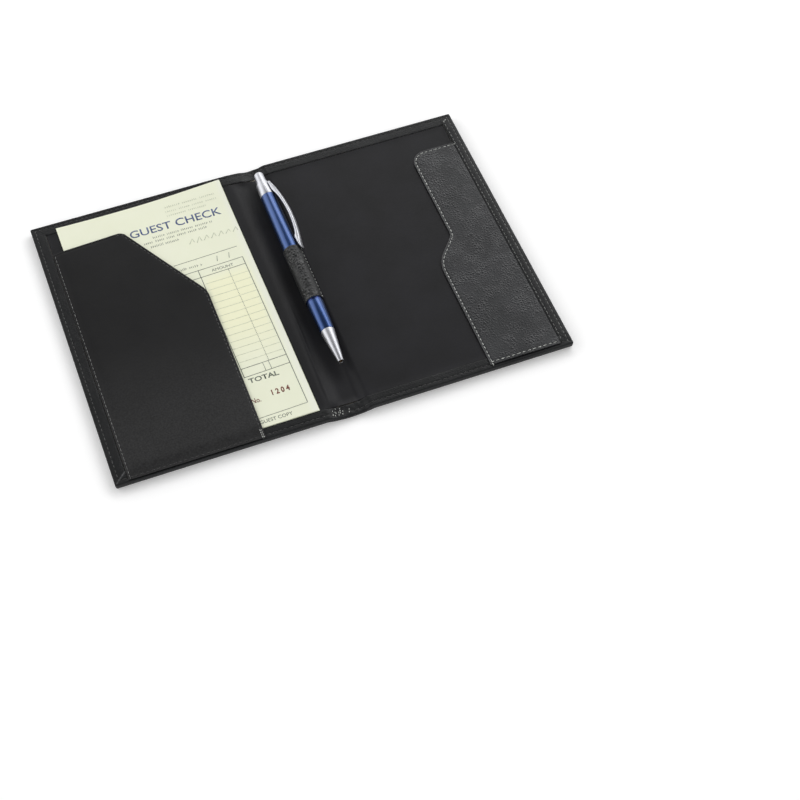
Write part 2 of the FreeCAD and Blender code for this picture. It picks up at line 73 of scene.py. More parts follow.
# Pen loop: its ends, its bore and outside about the pen, and the place of its seam
LOOP_FOOT_Y = -16.9
LOOP_HEAD_Y = 21.8
LOOP_LENGTH = LOOP_HEAD_Y - LOOP_FOOT_Y
LOOP_BORE = 4.86
LOOP_REACH = 5.28
LOOP_SEAM_X = 2.9
LOOP_SEAM_Z = 1.95
# Along the pen from its tip: the ends of its cone, front barrel, ring, rear barrel and collar
CONE_END = 21.5
FRONT_END = 42.0
RING_END = 43.4
REAR_END = 124.7
COLLAR_END = 134.8
# Radius of the bore for the refill
REFILL_BORE = 1.75


# Shapes and numbers

def ease(start, end, value):
    """Smooth step from 0 at start to 1 at end."""
    share = np.clip((value - start) / (end - start), 0.0, 1.0)
    return share * share * (3.0 - 2.0 * share)


def ridge(value, middle, width):
    """Rounded bump of height 1 about the middle."""
    return np.exp(-((value - middle) / width) ** 2)


def ripple(x, y, across, along, seed):
    """Soft random wave from about -1 to 1, its waves across by along millimetres."""
    flat = [noise.noise(Vector((a / across, b / along, seed))) for a, b in zip(np.ravel(x), np.ravel(y))]
    return np.array(flat).reshape(np.shape(x))


def eased_curve(places, heights, at):
    """Smooth curve through the given heights, without corners."""
    places = np.array(places, float)
    heights = np.array(heights, float)
    slopes = np.gradient(heights, places)
    slopes[0] = slopes[-1] = 0.0
    at = np.clip(at, places[0], places[-1])
    index = np.clip(np.searchsorted(places, at) - 1, 0, len(places) - 2)
    span = places[index + 1] - places[index]
    t = (at - places[index]) / span
    return ((2 * t ** 3 - 3 * t ** 2 + 1) * heights[index] + (t ** 3 - 2 * t ** 2 + t) * span * slopes[index]
            + (3 * t ** 2 - 2 * t ** 3) * heights[index + 1] + (t ** 3 - t ** 2) * span * slopes[index + 1])


def rounded_outline(corners, steps=6):
    """Closed outline through (x, y, radius) corners, each rounded by its own radius."""
    points = []
    for number, (x, y, radius) in enumerate(corners):
        here = Vector((x, y))
        before = Vector(corners[number - 1][:2])
        after = Vector(corners[(number + 1) % len(corners)][:2])
        if radius <= 0:
            points.append(here)
            continue
        back = (before - here).normalized()
        on = (after - here).normalized()
        half = math.acos(max(-1.0, min(1.0, back.dot(on)))) / 2
        reach = radius / math.tan(half)
        centre = here + (back + on).normalized() * (radius / math.sin(half))
        start = here + back * reach - centre
        end = here + on * reach - centre
        turn = math.atan2(start.x * end.y - start.y * end.x, start.dot(end))
        for step in range(steps + 1):
            spin = Matrix.Rotation(turn * step / steps, 2)
            points.append(centre + spin @ start)
    return points


def make_mesh(name, points, faces, material):
    """A mesh object at the origin, from points in millimetres."""
    mesh = bpy.data.meshes.new(name)
    mesh.from_pydata([tuple(float(c) * MM for c in p) for p in points], [], faces)
    mesh.materials.append(material)
    mesh.shade_smooth()
    item = bpy.data.objects.new(name, mesh)
    bpy.context.scene.collection.objects.link(item)
    return item


def settle(item, crease=None):
    """Turns an object and its modifiers into one plain mesh, with sharp edges above the crease angle."""
    graph = bpy.context.evaluated_depsgraph_get()
    mesh = bpy.data.meshes.new_from_object(item.evaluated_get(graph), depsgraph=graph)
    mesh.name = item.name
    item.modifiers.clear()
    item.data = mesh
    if crease is not None:
        mesh.shade_smooth()
        mesh.set_sharp_from_angle(angle=math.radians(crease))
    return item


def thicken(item, thickness, rounding=0.0, crease=None):
    """Gives a sheet its thickness, inwards from its faces, and rounds the cut edges."""
    wall = item.modifiers.new("thickness", "SOLIDIFY")
    wall.thickness = thickness * MM
    wall.offset = -1.0
    if rounding:
        edge = item.modifiers.new("rounding", "BEVEL")
        edge.width = rounding * MM
        edge.segments = 2
        edge.limit_method = "ANGLE"
        edge.angle_limit = math.radians(50)
    return settle(item, crease)


def point_outwards(item):
    """Turns the faces of a closed mesh outwards."""
    shape = bmesh.new()
    shape.from_mesh(item.data)
    bmesh.ops.recalc_face_normals(shape, faces=shape.faces)
    shape.to_mesh(item.data)
    shape.free()
    return item


def grid_faces(rows, columns, index=None, flip=False):
    """Quads of a grid of points numbered row by row, or as index gives them; -1 leaves a point out."""
    if index is None:
        index = np.arange(rows * columns).reshape(rows, columns)
    faces = []
    for r in range(rows - 1):
        for c in range(columns - 1):
            quad = [int(index[r, c]), int(index[r, c + 1]), int(index[r + 1, c + 1]), int(index[r + 1, c])]
            if min(quad) >= 0:
                faces.append(quad[::-1] if flip else quad)
    return faces


def tube_faces(rings, around, first=0):
    """Quads between closed rings of points, numbered ring by ring from the first."""
    faces = []
    for start in range(first, first + (rings - 1) * around, around):
        for step in range(around):
            a, b = start + step, start + (step + 1) % around
            faces.append((a, b, b + around, a + around))
    return faces


def store_rub_and_sheen(item, rub_and_sheen):
    """Stores how rubbed each point is and how much highlight is painted on it, for the materials to read."""
    values = [float(w) for w in rub_and_sheen]
    item.data.attributes.new("rub_and_sheen", "FLOAT", "POINT").data.foreach_set("value", values)


# Materials

def to_linear(code):
    """Linear colour from an sRGB hex value."""
    parts = [int(code[place:place + 2], 16) / 255 for place in (0, 2, 4)]
    return tuple(p / 12.92 if p <= 0.04045 else ((p + 0.055) / 1.055) ** 2.4 for p in parts) + (1.0,)


def add_node(tree, kind, inputs=None, **settings):
    """Adds a node; inputs gives sockets, by name or number, a value or another node's output."""
    item = tree.nodes.new(kind)
    for name, value in settings.items():
        setattr(item, name, value)
    for name, value in (inputs or {}).items():
        if isinstance(value, bpy.types.NodeSocket):
            tree.links.new(value, item.inputs[name])
        else:
            item.inputs[name].default_value = value
    return item


def new_material(name):
    material = bpy.data.materials.new(name)
    material.use_nodes = True
    material.node_tree.nodes.clear()
    return material, material.node_tree


def show(tree, shader):
    add_node(tree, "ShaderNodeOutputMaterial", {"Surface": shader.outputs[0]})


def finished(material, tree, sockets):
    """Shows the one shader of a material, with the given values or outputs in its sockets."""
    show(tree, add_node(tree, "ShaderNodeBsdfPrincipled", sockets))
    return material


def own_place(tree):
    return add_node(tree, "ShaderNodeTexCoord").outputs["Object"]


def cloudy(tree, place, size, detail):
    """Noise whose waves are about size millimetres across."""
    item = add_node(tree, "ShaderNodeTexNoise", {"Vector": place, "Scale": 1 / (size * MM), "Detail": detail})
    return item.outputs["Fac"]


def worked_out(tree, operation, *values):
    """Output of one step of arithmetic on values or outputs."""
    return add_node(tree, "ShaderNodeMath", dict(enumerate(values)), operation=operation).outputs[0]


def bumped(tree, height, depth, strength=1.0):
    """Bump of the given depth in millimetres."""
    item = add_node(tree, "ShaderNodeBump", {"Height": height, "Strength": strength, "Distance": depth * MM})
    return item.outputs[0]


def mixed(tree, share, first, second):
    """Output that runs from the first colour to the second."""
    item = add_node(tree, "ShaderNodeMix", {0: share, 6: first, 7: second}, data_type="RGBA")
    return item.outputs[2]


def tinted(tree, share, first, second):
    """Output that runs between two hex colours."""
    return mixed(tree, share, to_linear(first), to_linear(second))


def scaled(tree, value, low, high, to_low, to_high):
    """Output that runs between the two new ends as the value runs from low to high, and stops there."""
    item = add_node(tree, "ShaderNodeMapRange", {
        "Value": value, "From Min": low, "From Max": high, "To Min": to_low, "To Max": to_high})
    return item.outputs["Result"]


def coated_cloth(name, colour, lighter, rub_and_sheen_colour, grain, depth, roughness, gloss, crease_share, blotch=0.0):
    """Polyurethane-coated cloth, embossed with rounded hide cells between fine creases.

    The blotch is the share by which soft patches of it are stretched smooth and duller.
    """
    material, tree = new_material(name)
    place = own_place(tree)
    drift = add_node(tree, "ShaderNodeTexNoise", {
        "Vector": place, "Scale": 1 / (grain * 3 * MM), "Detail": 2.0})
    bent = add_node(tree, "ShaderNodeVectorMath", {
        0: drift.outputs["Color"], 1: (grain * 1.1 * MM,) * 3, 2: place}, operation="MULTIPLY_ADD")
    cells = add_node(tree, "ShaderNodeTexVoronoi", {
        "Vector": bent.outputs[0], "Scale": 1 / (grain * MM)}, feature="DISTANCE_TO_EDGE")
    crown = scaled(tree, cells.outputs["Distance"], 0.0, crease_share * 2, 0.0, 1.0)
    pores = cloudy(tree, place, 0.9, 2.0)
    stretch = cloudy(tree, place, 7, 4.0)
    pressed = scaled(tree, stretch, 0.4, 0.6, 1.0 - blotch, 1.0)
    height = worked_out(tree, "MULTIPLY", worked_out(tree, "MULTIPLY_ADD", pores, 0.2, crown), pressed)
    patch = scaled(tree, cloudy(tree, place, 22, 4.0), 0.35, 0.65, 0.0, 1.0)
    # A point attribute lightens the cloth towards its pale colour: rubbing at the edges, and a painted
    # highlight where a piece sets one.
    rub_and_sheen = add_node(tree, "ShaderNodeAttribute", attribute_name="rub_and_sheen").outputs["Fac"]
    skin = mixed(tree, worked_out(tree, "MULTIPLY", rub_and_sheen, pores), tinted(tree, patch, colour, lighter),
                 to_linear(rub_and_sheen_colour))
    rough = scaled(tree, pores, 0.3, 0.7, roughness - 0.05, roughness + 0.07)
    dull = scaled(tree, stretch, 0.42, 0.6, 0.22 * blotch, -0.04 * blotch)
    return finished(material, tree, {
        "Base Color": skin, "Roughness": worked_out(tree, "ADD", rough, dull),
        "Normal": bumped(tree, height, depth), "Specular IOR Level": gloss})


# Grained upholstery leatherette: glossy enough for soft highlights, its cells drawn 1.6 mm wide,
# where the real grain of about 1 mm would be lost between pixels
# Its base tone is painted lighter than the covers' copy of this cloth, for the light on the back pocket.
grained_leatherette = coated_cloth(
    "grained_pu_leatherette", "1D1E20", "2A2B2D", "8A8B8C", grain=1.6, depth=0.14,
    roughness=0.38, gloss=0.31, crease_share=0.2, blotch=0.55)
# The pen loop's strap: the same cloth drawn tight over the barrel, its creases wide and deep
# Its base tone is painted darker than the covers' copy of this cloth: painted shade on the loop.
strap_leatherette = coated_cloth(
    "creased_pu_strap", "0F1011", "1A1B1C", "8A8B8C", grain=2.1, depth=0.42,
    roughness=0.34, gloss=0.34, crease_share=0.2, blotch=0.6)
# The covers' outer sheet: the same cloth with a finer, flatter grain
cover_leatherette = coated_cloth(
    "fine_grain_pu_leatherette", "151617", "1C1D1E", "77787A", grain=1.3, depth=0.08,
    roughness=0.42, gloss=0.17, crease_share=0.2, blotch=0.22)
# Pressed smooth: a faint film of gloss, nearly even
smooth_leatherette = coated_cloth(
    "smooth_pu_leatherette", "131314", "171718", "8A8A8A", grain=2.4, depth=0.02,
    roughness=0.5, gloss=0.15, crease_share=0.3)
# Matt film on the inside faces, smoother than the pockets
lining_film = coated_cloth(
    "matt_pu_lining", "18181A", "1D1D20", "6E6E70", grain=2.0, depth=0.015,
    roughness=0.5, gloss=0.14, crease_share=0.3)


def sewing_thread(name, colour, shade):
    """Twisted polyester thread: light strands with darker hollows between them."""
    material, tree = new_material(name)
    twist = add_node(tree, "ShaderNodeTexWave", {
        "Vector": own_place(tree), "Scale": 1 / (3.2 * MM), "Distortion": 1.5, "Detail": 1.0},
        bands_direction="DIAGONAL").outputs["Fac"]
    return finished(material, tree, {
        "Base Color": tinted(tree, twist, shade, colour), "Roughness": 0.5,
        "Normal": bumped(tree, twist, 0.05, 0.6), "Sheen Weight": 0.3})


pale_thread = sewing_thread("polyester_thread_pale_grey", "CFD1CC", "8C8D8A")
grey_thread = sewing_thread("polyester_thread_grey", "7C7D7A", "464746")
dark_thread = sewing_thread("polyester_thread_dark_grey", "303030", "1A1A1A")


def check_paper(name, with_table):
    """Uncoated pale green paper with fine fibres.

    With its table, it is yellow there and paler along its right margin.
    """
    material, tree = new_material(name)
    place = own_place(tree)
    base = tinted(tree, cloudy(tree, place, 14, 3.0), "EBEED5", "F1F3DE")
    if with_table:
        axes = add_node(tree, "ShaderNodeSeparateXYZ", {0: place}).outputs
        off_middle = worked_out(tree, "ABSOLUTE", worked_out(tree, "SUBTRACT", axes["X"], -34.0 * MM))
        across = scaled(tree, off_middle, 10.5 * MM, 15.0 * MM, 1.0, 0.0)
        below = scaled(tree, axes["Y"], -45.0 * MM, -12.0 * MM, 0.0, 1.0)
        above = scaled(tree, axes["Y"], 18.0 * MM, 26.0 * MM, 1.0, 0.0)
        table = worked_out(tree, "MULTIPLY", worked_out(tree, "MULTIPLY", below, above), across)
        margin = scaled(tree, axes["X"], -21.5 * MM, -16.5 * MM, 0.0, 1.0)
        margin.node.interpolation_type = "SMOOTHSTEP"
        base = mixed(tree, table, base, to_linear("F5F5D4"))
        base = mixed(tree, margin, base, to_linear("EFF1E3"))
    fibres = cloudy(tree, place, 0.6, 4.0)
    return finished(material, tree, {
        "Base Color": base, "Roughness": 0.85, "Normal": bumped(tree, fibres, 0.02, 0.4),
        "Specular IOR Level": 0.3})


def printing_ink(name, colour, faded, share):
    """Offset printing ink on rough paper: patchy, where the fibres took less of it."""
    material, tree = new_material(name)
    patch = scaled(tree, cloudy(tree, own_place(tree), 0.7, 3.0), 0.35, 0.7, 0.0, share)
    return finished(material, tree, {
        "Base Color": tinted(tree, patch, colour, faded), "Roughness": 0.75, "Specular IOR Level": 0.3})


check_stock = check_paper("uncoated_check_paper", True)
copy_stock = check_paper("uncoated_copy_paper", False)
blue_ink = printing_ink("offset_ink_blue", "2B3F78", "8A97A8", 0.7)
dark_ink = printing_ink("offset_ink_grey", "484F4A", "8E9686", 0.8)
pale_ink = printing_ink("offset_ink_pale", "B2B8A2", "D6DAC2", 0.9)
red_ink = printing_ink("numbering_ink_red", "622C22", "9A6254", 0.6)


def turned_metal(name, colour, darker, roughness, coat):
    """Turned metal: fine rings round the axis, which stretch the highlight along the pen."""
    material, tree = new_material(name)
    place = own_place(tree)
    rings = add_node(tree, "ShaderNodeMapping", {"Vector": place, "Scale": (0.05, 1.0, 0.05)})
    marks = cloudy(tree, rings.outputs[0], 0.25, 3.0)
    return finished(material, tree, {
        "Base Color": tinted(tree, cloudy(tree, place, 9, 2.0), colour, darker), "Metallic": 1.0,
        "Roughness": scaled(tree, marks, 0.3, 0.7, roughness - 0.01, roughness + 0.02),
        "Normal": bumped(tree, marks, 0.0003, 0.05), "Coat Weight": coat, "Coat Roughness": 0.12})


# Satin nickel-chrome plating
satin_chrome = turned_metal("satin_chrome_plate", "B9BABE", "ADAEB3", 0.42, 0.0)
# Anodised aluminium under clear lacquer: deep blue with pale blue highlights
blue_anodised = turned_metal("blue_anodised_aluminium", "2B4576", "263E6B", 0.34, 0.5)
dark_anodised = turned_metal("dark_blue_anodised_ring", "2A3A70", "22305E", 0.3, 0.3)
# Drawn brass of the refill
refill_brass = turned_metal("drawn_brass_refill", "C9A765", "A88746", 0.32, 0.0)


def core_material(name, colour, other, grain, depth):
    """Inside material, seen only where the presenter is taken apart."""
    material, tree = new_material(name)
    cells = add_node(tree, "ShaderNodeTexVoronoi", {
        "Vector": own_place(tree), "Scale": 1 / (grain * MM)}).outputs["Distance"]
    return finished(material, tree, {
        "Base Color": tinted(tree, cells, colour, other), "Roughness": 0.9,
        "Normal": bumped(tree, cells, depth)})


# Open-cell polyurethane foam: pale, with pores of about half a millimetre
open_foam = core_material("open_cell_foam", "8C8C88", "B4B4AE", 0.5, 0.2)
# Grey chipboard: flecked with fibres
grey_board = core_material("grey_chipboard", "8E887E", "A39C90", 0.9, 0.05)


# Camera, floor and light

def add_camera():
    """The photograph's viewpoint: turned 21 degrees to the left and 56 degrees up."""
    turn, rise, roll = (math.radians(angle) for angle in (-21.075, 55.679, 0.231))
    back = Vector((math.sin(turn) * math.cos(rise), -math.cos(turn) * math.cos(rise), math.sin(rise)))
    level = Vector((math.cos(turn), math.sin(turn), 0.0))
    upright = back.cross(level)
    right = level * math.cos(roll) + upright * math.sin(roll)
    up = upright * math.cos(roll) - level * math.sin(roll)
    place = (right * 58.011 - up * 61.887 + back * 925.793) * MM
    data = bpy.data.cameras.new("viewpoint")
    data.sensor_width = 36.0
    focal_pixels, picture_pixels = 1653.083, 800
    data.lens = focal_pixels / picture_pixels * data.sensor_width
    data.clip_start = 0.01
    camera = bpy.data.objects.new("viewpoint", data)
    rows = [(right[axis], up[axis], back[axis], place[axis]) for axis in range(3)]
    camera.matrix_world = Matrix(rows + [(0, 0, 0, 1)])
    bpy.context.scene.collection.objects.link(camera)
    bpy.context.scene.camera = camera


def add_floor():
    """Pale table top that shows white and keeps the shadow."""
    material, tree = new_material("white_table_top")
    rays = add_node(tree, "ShaderNodeLightPath").outputs
    seen = worked_out(tree, "MAXIMUM", rays["Is Camera Ray"], rays["Is Glossy Ray"])
    seen = worked_out(tree, "MAXIMUM", seen, rays["Is Transmission Ray"])
    surface = add_node(tree, "ShaderNodeBsdfDiffuse", {"Color": (0.93, 0.93, 0.93, 1.0)})
    glow = add_node(tree, "ShaderNodeEmission", {"Strength": worked_out(tree, "MULTIPLY", seen, 0.19)})
    show(tree, add_node(tree, "ShaderNodeAddShader", {0: surface.outputs[0], 1: glow.outputs[0]}))
    half, level = 3000.0, -0.2
    corners = [(x * half, y * half, level) for x, y in ((-1, -1), (1, -1), (1, 1), (-1, 1))]
    floor = make_mesh("table_top", corners, [(0, 1, 2, 3)], material)


def add_lamp(name, place, width, height, power):
    """A soft box that faces the presenter; its place and size are in metres."""
    data = bpy.data.lights.new(name, "AREA")
    data.shape = "RECTANGLE"
    data.size = width
    data.size_y = height
    data.energy = power
    lamp = bpy.data.objects.new(name, data)
    lamp.location = place
    lamp.rotation_euler = Vector(place).to_track_quat("Z", "Y").to_euler()
    bpy.context.scene.collection.objects.link(lamp)


def add_light():
    """Studio light: a world that is brighter low down, and two soft boxes behind the presenter."""
    world = bpy.data.worlds.new("white_studio")
    world.use_nodes = True
    tree = world.node_tree
    tree.nodes.clear()
    rays = add_node(tree, "ShaderNodeLightPath")
    away = add_node(tree, "ShaderNodeTexCoord").outputs["Generated"]
    rise = add_node(tree, "ShaderNodeSeparateXYZ", {0: away}).outputs["Z"]
    level = scaled(tree, rise, 0.3, 0.75, 1.30, 0.2)
    shade = add_node(tree, "ShaderNodeCombineColor", {0: level, 1: level, 2: level})
    tint = mixed(tree, rays.outputs["Is Camera Ray"], shade.outputs[0], (1.0, 1.0, 1.0, 1.0))
    sky = add_node(tree, "ShaderNodeBackground", {"Color": tint, "Strength": 1.0})
    add_node(tree, "ShaderNodeOutputWorld", {"Surface": sky.outputs[0]})
    bpy.context.scene.world = world
    add_lamp("right_soft_box", (1.85, 1.6, 1.78), 4.4, 1.2, 60.0)
    add_lamp("left_soft_box", (-2.2, 1.6, 1.25), 4.0, 2.2, 38.0)
    bpy.context.scene.view_settings.view_transform = "Standard"


add_camera()
add_floor()
add_light()


# Covers: the padded outer sheet with its hem turned in, one piece for each half of the presenter

# Distances of the grid's lines from the free edges: over the hem, then past it
EDGE_LINES = [0.0, 0.02, 0.07, 0.15, 0.27, 0.42, 0.65, 1.1, 1.6, 2.0, 2.35, 2.7, 3.0, 3.3,
              3.8, 4.5, 5.4, 6.2, 6.55, 6.8]
INNER_LINES = [7.6, 8.6, 9.8, 11.2]


def cover_lines():
    """Places of the grid's columns from mid-spine to the free edge, and of its rows."""
    rim = EDGE_LINES + INNER_LINES
    spine = list(np.arange(0.0, 15.0, 0.7))
    middle = list(np.linspace(15.0, HALF_WIDTH - rim[-1], 68))
    columns = np.array(spine + middle[1:-1] + [HALF_WIDTH - e for e in reversed(rim)])
    middle = list(np.linspace(rim[-1] - HALF_LENGTH, HALF_LENGTH - rim[-1], 122))
    rows = np.array([e - HALF_LENGTH for e in rim] + middle[1:-1] + [HALF_LENGTH - e for e in reversed(rim)])
    return rows, columns


def cover_places(x, y, side):
    """Rounds the free corners and lets the hem bulge out at the two ends of the spine."""
    from_end = HALF_LENGTH - np.abs(y)
    u = (x - (HALF_WIDTH - CORNER)) / CORNER
    v = (np.abs(y) - (HALF_LENGTH - CORNER)) / CORNER
    inside = (u > 1e-6) & (v > 1e-6)
    most = np.maximum(u, v)
    least = np.minimum(u, v)
    turn = np.where(inside, least / np.where(inside, most, 1.0), 0.0) * math.pi / 4
    turn = np.where(v > u, math.pi / 2 - turn, turn)
    px = np.where(inside, HALF_WIDTH - CORNER + CORNER * most * np.cos(turn), x)
    py = np.where(inside, np.sign(y) * (HALF_LENGTH - CORNER + CORNER * most * np.sin(turn)), y)
    wide = side * x
    at_head = eased_curve([-10.0, -4.0, 0.0, 5.0, 7.5, 11.0], [0.0, 0.1, 0.3, 0.85, 0.4, 0.0], wide)
    at_foot = eased_curve([-14.0, -9.0, -3.0, 3.0, 9.0, 14.0], [0.0, 0.45, 0.85, 0.8, 0.4, 0.0], wide)
    bulge = np.where(y > 0, at_head, at_foot) * ease(18.0, 2.0, from_end)
    # The padded hem stands out past the board a little, most at the head
    bulge = bulge + np.where(y > 0, 0.85, 0.35) * ease(9.0, 2.0, from_end)
    px = px + (0.7 if side < 0 else 0.15) * ease(9.0, 2.0, HALF_WIDTH - x)
    return px, py + np.sign(y) * bulge


def spine_hem_top(wide, y):
    """Top of the hem across the spine; at the head it lies low enough for the pen to pass over it."""
    at_head = eased_curve([-13.0, -10.0, -6.0, -4.0, -2.0, 0.0, 6.0, 7.5, 9.0, 10.5, 12.6],
                          [HEM_TOP, 3.9, 3.5, 3.2, 2.5, 2.0, 1.95, 2.5, 3.4, 4.0, HEM_TOP], wide)
    at_foot = eased_curve([-13.0, -11.0, -8.5, -4.0, 4.0, 8.0, 10.5, 12.6],
                          [HEM_TOP, 3.8, 2.9, 2.5, 2.4, 2.7, 3.9, HEM_TOP], wide)
    return np.where(y > 0, at_head, at_foot)


def skin_heights(x, y, side):
    """Top and bottom of the outer sheet, the distance from its free edges, and the corner's mitre."""
    from_side, from_end = HALF_WIDTH - x, HALF_LENGTH - np.abs(y)
    d = np.minimum(from_side, from_end)
    wide = side * x
    top = spine_hem_top(wide, y)
    cover = ease(10.0, 14.0, x)
    low = 0.25 * cover
    middle = top - 0.8
    above, under = (np.sqrt(1.0 - np.clip(1.0 - d / reach, 0.0, 1.0) ** 2) for reach in (0.42, 0.65))
    crinkle = ripple(wide, y, 2.0, 3.4, 4.0)
    soft = ripple(wide, y, 9.0, 9.0, 8.0)
    crinkled = 0.06 + np.where(y > 0, 0.06, 0.34) * ease(15.0, 9.0, x)
    upper = middle + (top - middle) * above
    upper = upper - 0.12 * ridge(d, 2.5, 0.5) + crinkle * ease(0.4, 1.6, d) * crinkled
    upper = np.where(cover > 0.99, np.minimum(upper, HEM_TOP + 0.02), upper)
    # The hem along the back cover's free edge is a soft roll, and every hem's inner edge tucks down
    belly = np.sin(math.pi * np.clip((from_side - 0.2) / 6.9, 0.0, 1.0))
    belly = belly ** np.where(from_side > 3.6, 0.3, 0.7) * (from_side < HEM_WIDTH + 0.01)
    upper = upper + (0.45 if side > 0 else 0.12) * belly * ease(1.5, 8.0, from_end)
    upper = upper - 0.12 * ridge(d, 6.9, 0.3)
    # The front flap's foot is sewn down into the hem
    if side < 0:
        under_flap = ease(47.0, 49.0, x) * ease(122.5, 120.5, x) * (y < 0) * ease(0.15, 0.7, from_end)
        upper = upper - 0.34 * under_flap
    mitre = ridge(from_side - from_end, 0.0, 0.35) * ease(0.5, 1.5, d)
    upper = upper - 0.15 * mitre
    # Outside, the padding swells beside the row of stitches and gathers in soft puckers
    padding = eased_curve([0.65, 1.6, 2.7, 3.3, 4.3, 6.0, 9.0, 13.0],
                          [0.25, 0.4, 0.7, 0.45, 0.22, 0.09, 0.03, 0.0], d)
    puckers = ripple(wide, y, 5.0, 5.0, 15.0) * ridge(d, 4.3, 2.4)
    lower = cover * padding + (1.0 - cover) * 0.22 * ridge(d, 2.7, 0.5)
    lower = lower + 0.16 * puckers * (0.4 + cover)
    lower = lower + 0.10 * (soft + 0.6) * ease(6.0, 16.0, d) * ease(2.0, 8.0, x)
    lower = np.where(d < 0.65, middle - (middle - low) * under, np.maximum(lower, 0.0))
    return upper, lower, d, mitre


def cover_skin(name, side):
    """Outer leatherette of one cover and half of the spine, its edges turned in as a hem."""
    rows, columns = cover_lines()
    x, y = np.meshgrid(columns, rows)
    upper, lower, d, mitre = skin_heights(x, y, side)
    px, py = cover_places(x, y, side)
    outside = np.arange(x.size).reshape(x.shape)
    points = [(side * a, b, c) for a, b, c in zip(px.ravel(), py.ravel(), lower.ravel())]
    rub_and_sheen = [0.1 * w for w in ridge(d, 0.6, 0.8).ravel()]
    # The mitre at the foot corners is drawn lighter, most on the front cover.
    mitre_lightening = 0.9 if side < 0 else 0.3
    inside = np.full(x.shape, -1)
    inside[d < 1e-6] = outside[d < 1e-6]
    for r, c in np.argwhere((d >= 1e-6) & (d < HEM_WIDTH + 0.01)):
        inside[r, c] = len(points)
        points.append((side * px[r, c], py[r, c], upper[r, c]))
        rub_and_sheen.append(float(mitre_lightening * mitre[r, c] * (d[r, c] > 1.0) * (y[r, c] < 0)))
    faces = grid_faces(*x.shape, outside, flip=side > 0) + grid_faces(*x.shape, inside, flip=side < 0)
    item = make_mesh(name, points, faces, cover_leatherette)
    store_rub_and_sheen(item, rub_and_sheen)
    return thicken(item, SKIN_THICKNESS, crease=60)


def lining_height(x, y):
    """Lining from the board's top down over the fold to the spine; x counts from mid-spine, with its sign."""
    away = np.abs(x)
    level = SPINE_LINING_TOP + (LINING_TOP - SPINE_LINING_TOP) * ease(np.where(x < 0, 1.0, 5.6), 12.2, away)
    level = level + 0.05 * ripple(x, y, 24.0, 30.0, 2.0) * ease(12.0, 20.0, away)
    level = level + 0.07 * ripple(x, y, 5.0, 14.0, 6.0) * ease(13.0, 9.0, away) * ease(3.0, 6.0, away)
    # A fine crease stands proud beside the left fold near the foot
    crease = ridge(x, -8.4 + 0.02 * (y + 50), 0.7) * ease(0.0, -40.0, y) * ease(-84.0, -70.0, y)
    level = level + 0.42 * crease
    # Near the two ends the lining rises to the hem
    end = HALF_LENGTH - HEM_WIDTH - np.abs(y)
    level = level + (spine_hem_top(x, y) - 0.35 - level) * ease(3.0, 0.0, end) * ease(13.0, 11.0, away)
    # Beside the free edges it is drawn up to the hem
    border = np.minimum(end, HALF_WIDTH - HEM_WIDTH - away)
    return level + 0.14 * ease(2.4, 0.2, border) * ease(11.0, 14.0, away)


def cover_lining(name, side):
    """Lining of one cover, drawn down into the spine; the two meet in the crease under the pen."""
    start = LINING_SPLIT * side
    near = list(np.linspace(start, 15.0, 27 if side > 0 else 42))
    columns = np.array(near + list(np.linspace(15.0, HALF_WIDTH - HEM_WIDTH - 0.1, 54))[1:])
    rows = np.linspace(HEM_WIDTH + 0.08 - HALF_LENGTH, HALF_LENGTH - HEM_WIDTH - 0.08, 96)
    x, y = np.meshgrid(columns, rows)
    z = lining_height(side * x, y)
    points = [(side * a, b, c) for a, b, c in zip(x.ravel(), y.ravel(), z.ravel())]
    item = make_mesh(name, points, grid_faces(*x.shape, flip=side < 0), lining_film)
    return thicken(item, LINING_THICKNESS, crease=60)


# Pockets

def outline_distance(points, outline):
    """Distance of each point from an open line."""
    best = np.full(len(points), 1e9)
    for start, end in zip(outline[:-1], outline[1:]):
        along = end - start
        length = float(along @ along)
        if length < 1e-12:
            continue
        share = np.clip(((points - start) @ along) / length, 0.0, 1.0)
        best = np.minimum(best, np.linalg.norm(points - start - share[:, None] * along, axis=1))
    return best


def flap(name, outline, seam_x, rows, height, material, thickness, drop=0.0):
    """A pocket flap from its seam to its open edge; height gives its top face and how much it is lightened,
    by rubbing and by painted highlight.

    Its top edge falls by the drop towards the seam.
    """
    line = np.array(sorted((p.y, p.x) for p in outline if abs(p.x - seam_x) > 1.0))
    open_x = np.interp(rows, line[:, 0], line[:, 1])
    side = 1.0 if seam_x > open_x[0] else -1.0
    rim = [0.0, 0.2, 0.5, 0.85, 1.2, 1.55, 1.9, 2.5, 3.4, 4.6, 6.0]
    seam = [5.5, 4.2, 3.0, 2.0, 1.3, 0.8, 0.4, 0.15, 0.0]
    grid = []
    for y, edge in zip(rows, open_x):
        span = abs(seam_x - edge)
        places = rim + list(np.linspace(rim[-1], span - seam[0], 24))[1:-1] + [span - s for s in seam]
        grid.append([(edge + side * p, y) for p in places])
    grid = np.array(grid)
    flat = grid.reshape(-1, 2)
    edge_gap = outline_distance(flat, np.array([(p.x, p.y) for p in outline]))
    seam_gap = np.abs(seam_x - flat[:, 0])
    foot_gap = flat[:, 1] - rows[0]
    z, rub_and_sheen = height(flat[:, 0], flat[:, 1], edge_gap, seam_gap, foot_gap)
    crest = abs(seam_x - open_x[-1])
    fall = drop * np.clip(1.0 - seam_gap / crest, 0.0, 1.0) * ease(rows[0], rows[-1], flat[:, 1]) ** 2
    points = np.column_stack([flat[:, 0], flat[:, 1] - fall, z])
    item = make_mesh(name, points, grid_faces(*grid.shape[:2], flip=side < 0), material)
    store_rub_and_sheen(item, rub_and_sheen)
    return thicken(item, thickness, rounding=0.18, crease=75)


